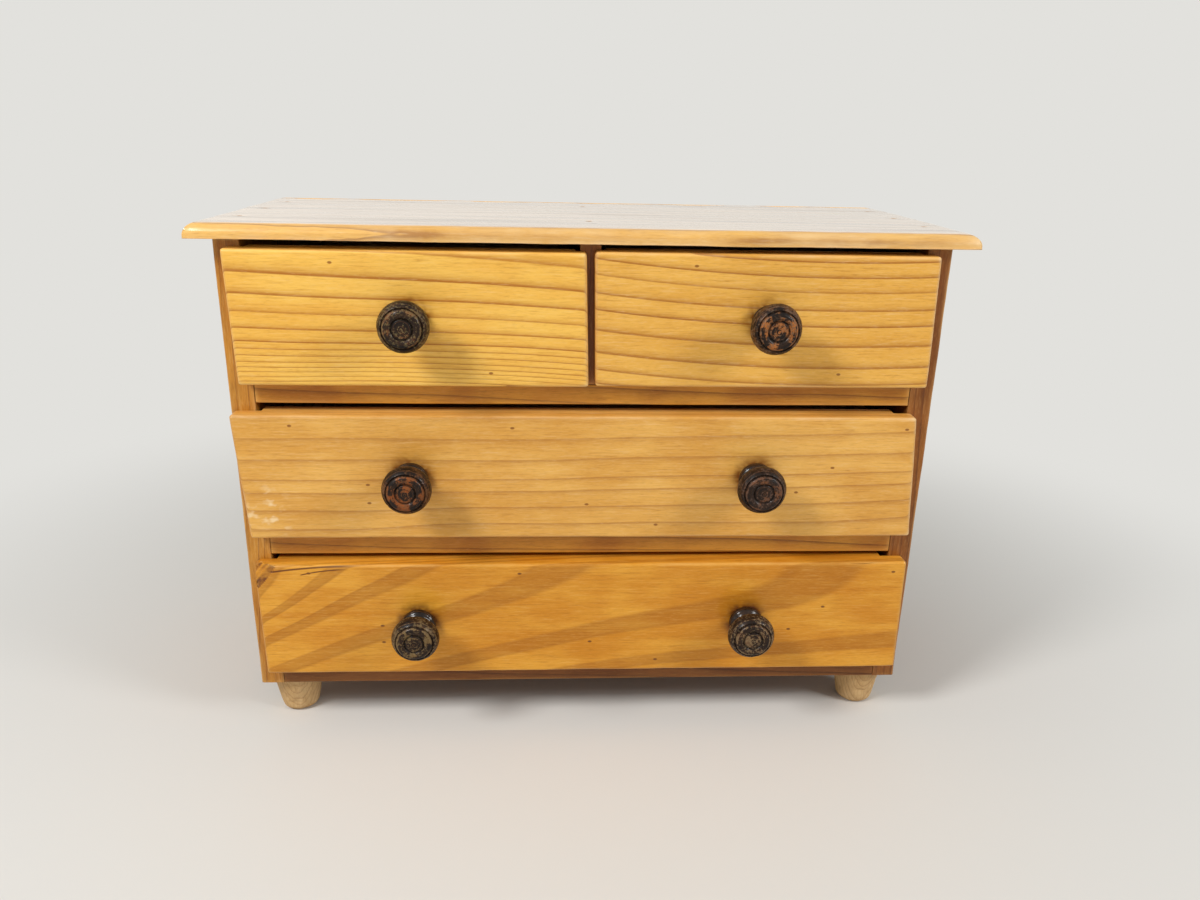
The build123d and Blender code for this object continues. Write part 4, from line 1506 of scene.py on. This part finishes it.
@dataclass
class Fasteners:
    """All the pins or screws of one node."""

    node: str
    body: str
    slot: str
    finish: Steel
    turns: float = 0.0           # how far a head may be turned, at most
    filled: Stopping | None = None

    FILL_RADIUS = 1.33 * MM
    FILL_SIDES = 16
    PUNCH = 0.4 * MM

    def prototype(self, solid: np.ndarray, driven: Driven) -> bpy.types.Object:
        """The node's first solid, its head at the origin and driven up +Z."""
        shape = merged_copy(self.node)
        low, high = solid.min(0) - MERGE, solid.max(0) + MERGE
        away = [v for v in shape.verts if not (
            (np.array(v.co) >= low).all() and (np.array(v.co) <= high).all())]
        bmesh.ops.delete(shape, geom=away, context="VERTS")
        bmesh.ops.transform(shape, matrix=Matrix.Translation(-driven.head), verts=shape.verts)
        turn = driven.way.rotation_difference(Vector((0.0, 0.0, 1.0))).to_matrix().to_4x4()
        bmesh.ops.transform(shape, matrix=turn, verts=shape.verts)
        return shaped(self.node + "_prototype", shape)

    def stopper(self) -> bpy.types.Object:
        """A thin dished plug of filler, its face at the wood's surface."""
        rings = ((self.FILL_RADIUS, 0.0), (self.FILL_RADIUS, -self.PUNCH + 0.02 * MM))
        points = [(0.0, 0.0, -self.PUNCH * 0.6)]
        for radius, height in rings:
            for i in range(self.FILL_SIDES):
                turn = math.tau * i / self.FILL_SIDES
                points.append((radius * math.cos(turn), radius * math.sin(turn),
                               -self.PUNCH - height))
        points.append((0.0, 0.0, -0.02 * MM))
        sides, last = self.FILL_SIDES, len(points) - 1
        faces = []
        for i in range(sides):
            j = (i + 1) % sides
            faces.append((0, 1 + j, 1 + i))
            faces.append((1 + i, 1 + j, 1 + sides + j, 1 + sides + i))
            faces.append((last, 1 + sides + i, 1 + sides + j))
        made = mesh_object(self.node + "_stopper", points, faces)
        shape = bmesh.new()
        shape.from_mesh(made.data)
        bmesh.ops.recalc_face_normals(shape, faces=shape.faces)
        shape.to_mesh(made.data)
        shape.free()
        return made

    def make(self, tree: DrivenTree) -> None:
        """Sets the fasteners, and the filler over them where they are filled."""
        solids = solids_of(self.node)
        driven = [Driven.read(points) for points in solids]
        carrier = mesh_object(self.node + "_points", [each.head for each in driven])
        ways = carrier.data.attributes.new("driven_way", "FLOAT_VECTOR", "POINT")
        ways.data.foreach_set("vector", [value for each in driven for value in each.way])
        first = self.prototype(solids[0], driven[0])
        piece = tree.run(carrier, self.node + "_steel", {
            "Fastener": first, "Largest Turn": self.turns, "Seed": len(self.node),
            "Material": self.finish.build()})
        finish_piece(piece, self.body, self.slot, self.node)
        if self.filled is not None:
            plug = self.stopper()
            filler = tree.run(carrier, self.node + "_stopping", {
                "Fastener": plug, "Largest Turn": math.tau, "Seed": 1,
                "Material": self.filled.build()})
            finish_piece(filler, self.body, self.slot)
            put_away(plug)
        put_away(first, carrier)


# ---- the chest's sub-assemblies ------------------------------------------------
@dataclass
class Case:
    """Top, sides, shelves, divider, back and feet."""

    body: str = "case"
    slot: str = "varnished_pine_case"
    top_slot: str = "varnished_pine_top"

    def top(self) -> Board:
        """The thin top, with its uneven nosing."""
        log = Log(60.0, -42.0, climb=0.012, dive=0.06, wave=2.6, seed=3.0, spacing=3.4,
                  knots=(Knot(2.0, -54.0, 1.6, 2.0),))
        # Its face that looks up is painted paler and grey-streaked: partly bleaching, partly
        # painted sheen.
        finish = Pine("top board pine", Tones.TOP, GrainWay.LYING_FLAT, log, depth_of_line=0.9,
                      rough=0.32, coat=0.85, gloss=0.4, specks=0.08, bleach_and_sheen=0.8)
        return Board("top_board", self.body, self.top_slot, finish, arris=0.6 * MM,
                     rub=0.7 * MM, rub_width=5.0 * MM, pitch=4.0 * MM)

    def side(self, node: str, tone: Tones, pith_deep: float, seed: float) -> Board:
        """One side panel.

        Args:
            node: Its CAD node.
            tone: Its wood; the darker one carries painted shade.
            pith_deep: How deep behind it the log's middle lies, in millimetres.
            seed: Where in the noise its wood lies.

        Returns:
            The panel.
        """
        log = Log(25.0, pith_deep, climb=0.02, dive=0.015, wave=1.6, seed=seed, spacing=2.1)
        finish = Pine(f"{node} pine", tone, GrainWay.UPRIGHT_SIDE, log, depth_of_line=0.6,
                      patchy=0.9, rough=0.4)
        return Board(node, self.body, self.slot, finish, arris=0.6 * MM, rub=0.35 * MM,
                     pitch=5.0 * MM)

    def shelf(self, node: str, tone: Tones, seed: float) -> Board:
        """One of the boards between the sides.

        Args:
            node: Its CAD node.
            tone: Its wood; the darker ones carry painted shade.
            seed: Where in the noise its wood lies.

        Returns:
            The board.
        """
        log = Log(40.0, -48.0, climb=0.01, dive=-0.012, seed=seed, spacing=3.1)
        finish = Pine(f"{node} pine", tone, GrainWay.LYING_FLAT, log, patchy=0.8)
        return Board(node, self.body, self.slot, finish, arris=0.5 * MM, rub=0.2 * MM,
                     pitch=7.0 * MM)

    def divider(self) -> Board:
        """The upright between the short drawers."""
        log = Log(30.0, 40.0, wave=1.2, seed=9.0)
        # The darker side tone: painted shade.
        finish = Pine("divider pine", Tones.STAINED_AND_SHADED_SIDE, GrainWay.UPRIGHT_SIDE, log)
        return Board("divider", self.body, self.slot, finish, arris=0.4 * MM, rub=0.2 * MM)

    def back(self) -> None:
        """Dresses the plywood back, whose CAD shape is right."""
        sheet = Plywood("plywood back", GrainWay.UPRIGHT_FACE, seed=4.0)
        dress_node("back_panel", sheet.build("back_panel"))

    def make(self, turned: TurnedTree, driven: DrivenTree) -> None:
        """Builds the case.

        Args:
            turned: The tree that turns feet.
            driven: The tree that sets fasteners.
        """
        # The right side, the rails and the bottom board have darker tones that carry painted shade.
        boards = [self.top(), self.side("side_left", Tones.BRIGHT_SIDE, 55.0, 5.0),
                  self.side("side_right", Tones.STAINED_AND_SHADED_SIDE, -48.0, 6.0),
                  self.shelf("bottom_board", Tones.SHADED_LOW_RAIL, 11.0),
                  self.shelf("lower_shelf", Tones.DIRTY_SHADED_RAIL, 12.5),
                  self.shelf("upper_shelf", Tones.DIRTY_SHADED_RAIL, 14.0), self.divider()]
        for board in boards:
            board.make()
        self.back()
        for count, name in enumerate(("front_left", "front_right", "back_left", "back_right")):
            Foot(f"foot_{name}", seed=20.0 + 3.7 * count).make(turned)
        light = Stopping("amber stopping", "#B98246", "#8A5A2C")
        pins = Steel("pin steel", rust=0.5)
        for node in ("top_pins", "side_left_pins", "side_right_pins"):
            Fasteners(node, self.body, "steel_pins", pins, filled=light).make(driven)
        for node in ("divider_pins", "back_pins"):
            Fasteners(node, self.body, "steel_pins", pins).make(driven)
        Fasteners("foot_screws", self.body, "steel_screws", Steel("screw steel"),
                  turns=math.pi).make(driven)


def dress_node(node: str, material: bpy.types.Material) -> None:
    """Gives a CAD node that stays its material."""
    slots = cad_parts[node].data.materials
    if not slots:
        slots.append(material)
    for i in range(len(slots)):
        slots[i] = material
    LOG.info("%s: CAD shape kept", node)


@dataclass
class Drawer:
    """One drawer: its front, its pinned box and its knobs."""

    name: str
    log: Log
    knobs: dict[str, tuple[float, float, str, str]]   # seed, how bare, worn face, worn rim
    tone: Tones = Tones.FRONT
    depth_of_line: float = 0.75
    broad: float = 0.0
    patchy: float = 0.5
    scuffs: tuple[tuple[float, float, float], ...] = ()    # x, z and radius, from the middle
    lean: float = 0.0
    torn: bool = False

    HALO = (8.5 * MM, 3.2 * MM)  # the stain round a knob, and how it fades
    SCUFF_SPREAD = 0.8           # in a scuff's radii

    def node(self, part: str) -> str:
        """The full name of one of the drawer's nodes."""
        return f"{self.name}_{part}"

    @property
    def body(self) -> str:
        """The body that the drawer's parts ride."""
        return f"{self.name}_drawer"

    def front(self) -> Board:
        """The front, stained a little round each knob."""
        knobs = [middle_of(self.node(knob)) for knob in self.knobs]
        halos = tuple((knob.x, knob.z, *self.HALO) for knob in knobs)
        middle = middle_of(self.node("front"))
        scuffs = tuple((middle.x + x, middle.z + z, radius, radius * self.SCUFF_SPREAD)
                       for x, z, radius in self.scuffs)
        finish = Pine(f"{self.name} front pine", self.tone, GrainWay.LYING_FRONT, self.log,
                      depth_of_line=self.depth_of_line, broad=self.broad, patchy=self.patchy)
        kind = TornBoard if self.torn else Board
        # The right end's arris is painted pale all along: a painted highlight.
        return kind(self.node("front"), self.body, "varnished_pine_fronts", finish,
                    arris=0.8 * MM, rub=0.35 * MM, rub_width=1.8 * MM, pitch=3.0 * MM,
                    lean=self.lean, stains=halos, scuffs=scuffs, bare_end=True)

    def box_board(self, part: str, way: GrainWay, seed: float) -> Board:
        """A side or the back of the box, left bare.

        Args:
            part: What its CAD node's name ends in.
            way: Which axes its grain follows.
            seed: Where in the noise its wood lies.

        Returns:
            The board.
        """
        log = Log(24.0, 30.0, climb=0.01, wave=1.2, seed=seed, spacing=2.2)
        finish = Pine(f"{self.node(part)} pine", Tones.BOX, way, log, depth_of_line=0.6,
                      rough=0.6, coat=0.0, specks=0.05)
        return Board(self.node(part), self.body, "drawer_box_pine", finish, arris=0.35 * MM,
                     rub=0.15 * MM, pitch=9.0 * MM)

    def base(self) -> None:
        """Dresses the plywood base, whose CAD shape is right."""
        node = self.node("base")
        sheet = Plywood(f"{self.name} base plywood", GrainWay.LYING_FLAT,
                        seed=float(len(self.name)))
        dress_node(node, sheet.build(node))

    def make(self, turned: TurnedTree, driven: DrivenTree) -> None:
        """Builds the drawer.

        Args:
            turned: The tree that turns knobs.
            driven: The tree that sets fasteners.
        """
        self.front().make()
        seed = self.log.seed
        self.box_board("side_left", GrainWay.FRONT_TO_BACK, seed + 1.3).make()
        self.box_board("side_right", GrainWay.FRONT_TO_BACK, seed + 2.1).make()
        self.box_board("back", GrainWay.LYING_FRONT, seed + 3.4).make()
        self.base()
        for knob, look in self.knobs.items():
            Knob(self.node(knob), self.body, *look).make(turned)
        pins = Steel(f"{self.name} pin steel", rust=0.4)
        for part in ("corner_pins", "base_pins"):
            Fasteners(self.node(part), self.body, "steel_pins", pins).make(driven)
        Fasteners(self.node("knob_screws"), self.body, "steel_screws",
                  Steel(f"{self.name} screw steel"), turns=math.pi).make(driven)


DRAWERS = (
    Drawer("top_left",
           Log(94.2, 140.0, climb=0.029, dive=-0.039, bow=-0.126, wave=0.9, seed=1.0,
               years=(155.0, 161.0, 166.2, 170.7, 174.7, 178.7, 182.1, 184.0, 185.9, 187.8,
                      189.4, 190.8, 192.3, 193.8, 195.3, 197.0)),
           {"knob": (0.31, 0.4, "#7A3E1E", "#7A6A45")},
           Tones.BRIGHT_FRONT, depth_of_line=0.9, lean=1.9 * MM),
    Drawer("top_right",
           Log(160.0, -49.6, climb=-0.038, dive=0.012, bow=0.522, wave=0.6, seed=2.0,
               years=(130.0, 136.5, 143.6, 150.6, 159.2, 167.0, 176.8, 187.6, 196.0, 203.0,
                      209.0)),
           {"knob": (0.57, 0.75, "#A8652E", "#6E5A48")},
           Tones.FRONT, depth_of_line=0.85, lean=1.3 * MM),
    Drawer("middle",
           Log(-45.0, 140.0, climb=0.017, dive=0.001, bow=0.045, wave=0.5, seed=7.0,
               years=(148.0, 149.3, 150.9, 153.0, 154.9, 158.4, 162.8, 168.0, 173.0)),
           {"knob_left": (0.83, 0.75, "#8A4A20", "#6A4A2E"),
            "knob_right": (1.19, 0.4, "#7C4A26", "#5E4A40")},
           Tones.MIDDLE_FRONT, depth_of_line=0.6, patchy=0.7, lean=4.4 * MM,
           scuffs=((-162.0 * MM, -14.0 * MM, 5.0 * MM), (-158.0 * MM, -24.0 * MM, 4.0 * MM),
                   (-171.0 * MM, -20.0 * MM, 3.0 * MM))),
    Drawer("bottom",
           Log(49.8, 140.0, climb=-0.005, dive=0.083, bow=-0.622, wave=0.9, seed=4.0,
               years=(130.0, 134.3, 137.2, 140.6, 147.6, 159.2, 168.9, 177.0),
               cracks=(Crack((-169.0, -118.0), (28.5, 31.8), sag=1.2, width=0.7),
                       Crack((-152.0, -126.0), (27.0, 30.2), sag=0.8, width=0.5))),
           {"knob_left": (1.43, 0.6, "#6E5634", "#7E6A48"),
            "knob_right": (1.77, 0.5, "#6A4E36", "#8A7454")},
           Tones.DEEP_FRONT, broad=0.2, patchy=0.9, lean=1.0 * MM, torn=True),
)


# ---- the studio ----------------------------------------------------------------
@dataclass(frozen=True)
class Camera:
    """Where the reference view was taken from."""

    place: tuple[float, float, float] = (-21.479 * MM, -516.747 * MM, 320.701 * MM)
    yaw: float = math.radians(3.493)
    pitch: float = math.radians(19.124)
    roll: float = math.radians(1.255)
    focal: float = 932.481       # in pixels of a view 1200 wide
    view_width: float = 1200.0

    SENSOR_WIDTH = 36.0
    NEAR, FAR = 0.01, 50.0

    def make(self) -> None:
        """Sets up the scene's camera."""
        data = bpy.data.cameras.new("camera")
        data.sensor_width = self.SENSOR_WIDTH
        data.lens = self.SENSOR_WIDTH * self.focal / self.view_width
        data.clip_start, data.clip_end = self.NEAR, self.FAR
        level = math.cos(self.pitch)
        ahead = Vector((math.sin(self.yaw) * level, math.cos(self.yaw) * level,
                        -math.sin(self.pitch)))
        right = Vector((math.cos(self.yaw), -math.sin(self.yaw), 0.0))
        up = right.cross(ahead)
        cosine, sine = math.cos(self.roll), math.sin(self.roll)
        rolled_right, rolled_up = right * cosine + up * sine, up * cosine - right * sine
        camera = in_scene("camera", data)
        camera.matrix_world = Matrix.Translation(self.place) @ Matrix(
            (rolled_right, rolled_up, -ahead)).transposed().to_4x4()
        bpy.context.scene.camera = camera


@dataclass(frozen=True)
class Lamp:
    """One soft studio lamp, aimed at the middle of the chest."""

    name: str
    place: tuple[float, float, float]
    size: float
    power: float
    aim: tuple[float, float, float] = (0.0, 0.0, 0.15)

    def make(self) -> None:
        """Hangs the lamp."""
        data = bpy.data.lights.new(self.name, "AREA")
        data.shape, data.size, data.energy = "DISK", self.size, self.power
        lamp = in_scene(self.name, data)
        way = Vector(self.aim) - Vector(self.place)
        lamp.matrix_world = (Matrix.Translation(self.place)
                             @ way.to_track_quat("-Z", "Y").to_matrix().to_4x4())


@dataclass(frozen=True)
class Studio:
    """A pale floor that runs out into a pale surround, and soft light."""

    surround: str = "#E2E1DD"
    floor: str = "#E0DED9"
    reach: float = 8.0
    fade_from: float = 0.17
    fade_to: float = 0.65
    ambient: float = 0.42
    lamps: tuple[Lamp, ...] = (
        Lamp("window left", (-0.75, -0.60, 0.95), 0.36, 10.2),
        Lamp("window right", (0.90, -0.55, 0.70), 0.36, 5.5),
    )

    FLOOR_SIDES = 96
    FLOOR_GRAIN, FLOOR_GRAIN_SHARE = 60.0, 0.25

    def seen(self, tree: Tree) -> Wire:
        """1 for what the camera sees or sees mirrored, and 0 for the light that falls."""
        path = tree.node("ShaderNodeLightPath")
        camera = Wire(tree, path.outputs["Is Camera Ray"])
        mirrored = tree.math("MAXIMUM", Wire(tree, path.outputs["Is Glossy Ray"]),
                             Wire(tree, path.outputs["Is Transmission Ray"]))
        return tree.math("MAXIMUM", camera, mirrored)

    def sky(self) -> None:
        """Sets the world."""
        world = bpy.data.worlds.new("surround")
        world.use_nodes = True
        bpy.context.scene.world = world
        tree = Tree(world.node_tree)
        world.node_tree.nodes.clear()
        seen = self.seen(tree)
        light = tree.node("ShaderNodeBackground", None, {
            "Color": linear(self.surround), "Strength": seen * (1.0 - self.ambient) + self.ambient})
        tree.node("ShaderNodeOutputWorld", None, {0: light.outputs[0]})

    def ground(self) -> None:
        """Lays the floor."""
        sides = self.FLOOR_SIDES
        ring = [(self.reach * math.cos(math.tau * i / sides),
                 self.reach * math.sin(math.tau * i / sides), 0.0) for i in range(sides)]
        floor = mesh_object("studio_floor", ring, [range(sides)])
        tree = Shader("pale floor", {"Roughness": 0.7, "Specular IOR Level": 0.2})
        grain = tree.noise(tree.position, self.FLOOR_GRAIN, 3.0)
        tone = tree.layered(self.floor, (grain * self.FLOOR_GRAIN_SHARE, self.surround))
        tree.feed(tree.principled.inputs["Base Color"], tone)
        x, y, _ = tree.parts(tree.position)
        away = tree.math("SQRT", x * x + y * y)
        faded_and_sheen = tree.step(away, self.fade_from, self.fade_to) * self.seen(tree)
        glow = tree.node("ShaderNodeEmission", None, {"Color": linear(self.surround)})
        mixed = tree.node("ShaderNodeMixShader", None, {
            0: faded_and_sheen, 1: tree.principled.outputs[0], 2: glow.outputs[0]})
        tree.feed(tree.output.inputs["Surface"], mixed.outputs[0])
        floor.data.materials.append(tree.material)

    def make(self) -> None:
        """Sets up the surround, the floor and the lamps."""
        self.sky()
        self.ground()
        for lamp in self.lamps:
            lamp.make()
        bpy.context.scene.view_settings.view_transform = "Standard"


def main() -> None:
    """Builds the chest and its studio."""
    logging.basicConfig(level=logging.INFO, format="%(name)s: %(message)s")
    turned, driven = TurnedTree(), DrivenTree()
    Case().make(turned, driven)
    for drawer in DRAWERS:
        drawer.make(turned, driven)
    Camera().make()
    Studio().make()


if __name__ == "__main__":
    main()
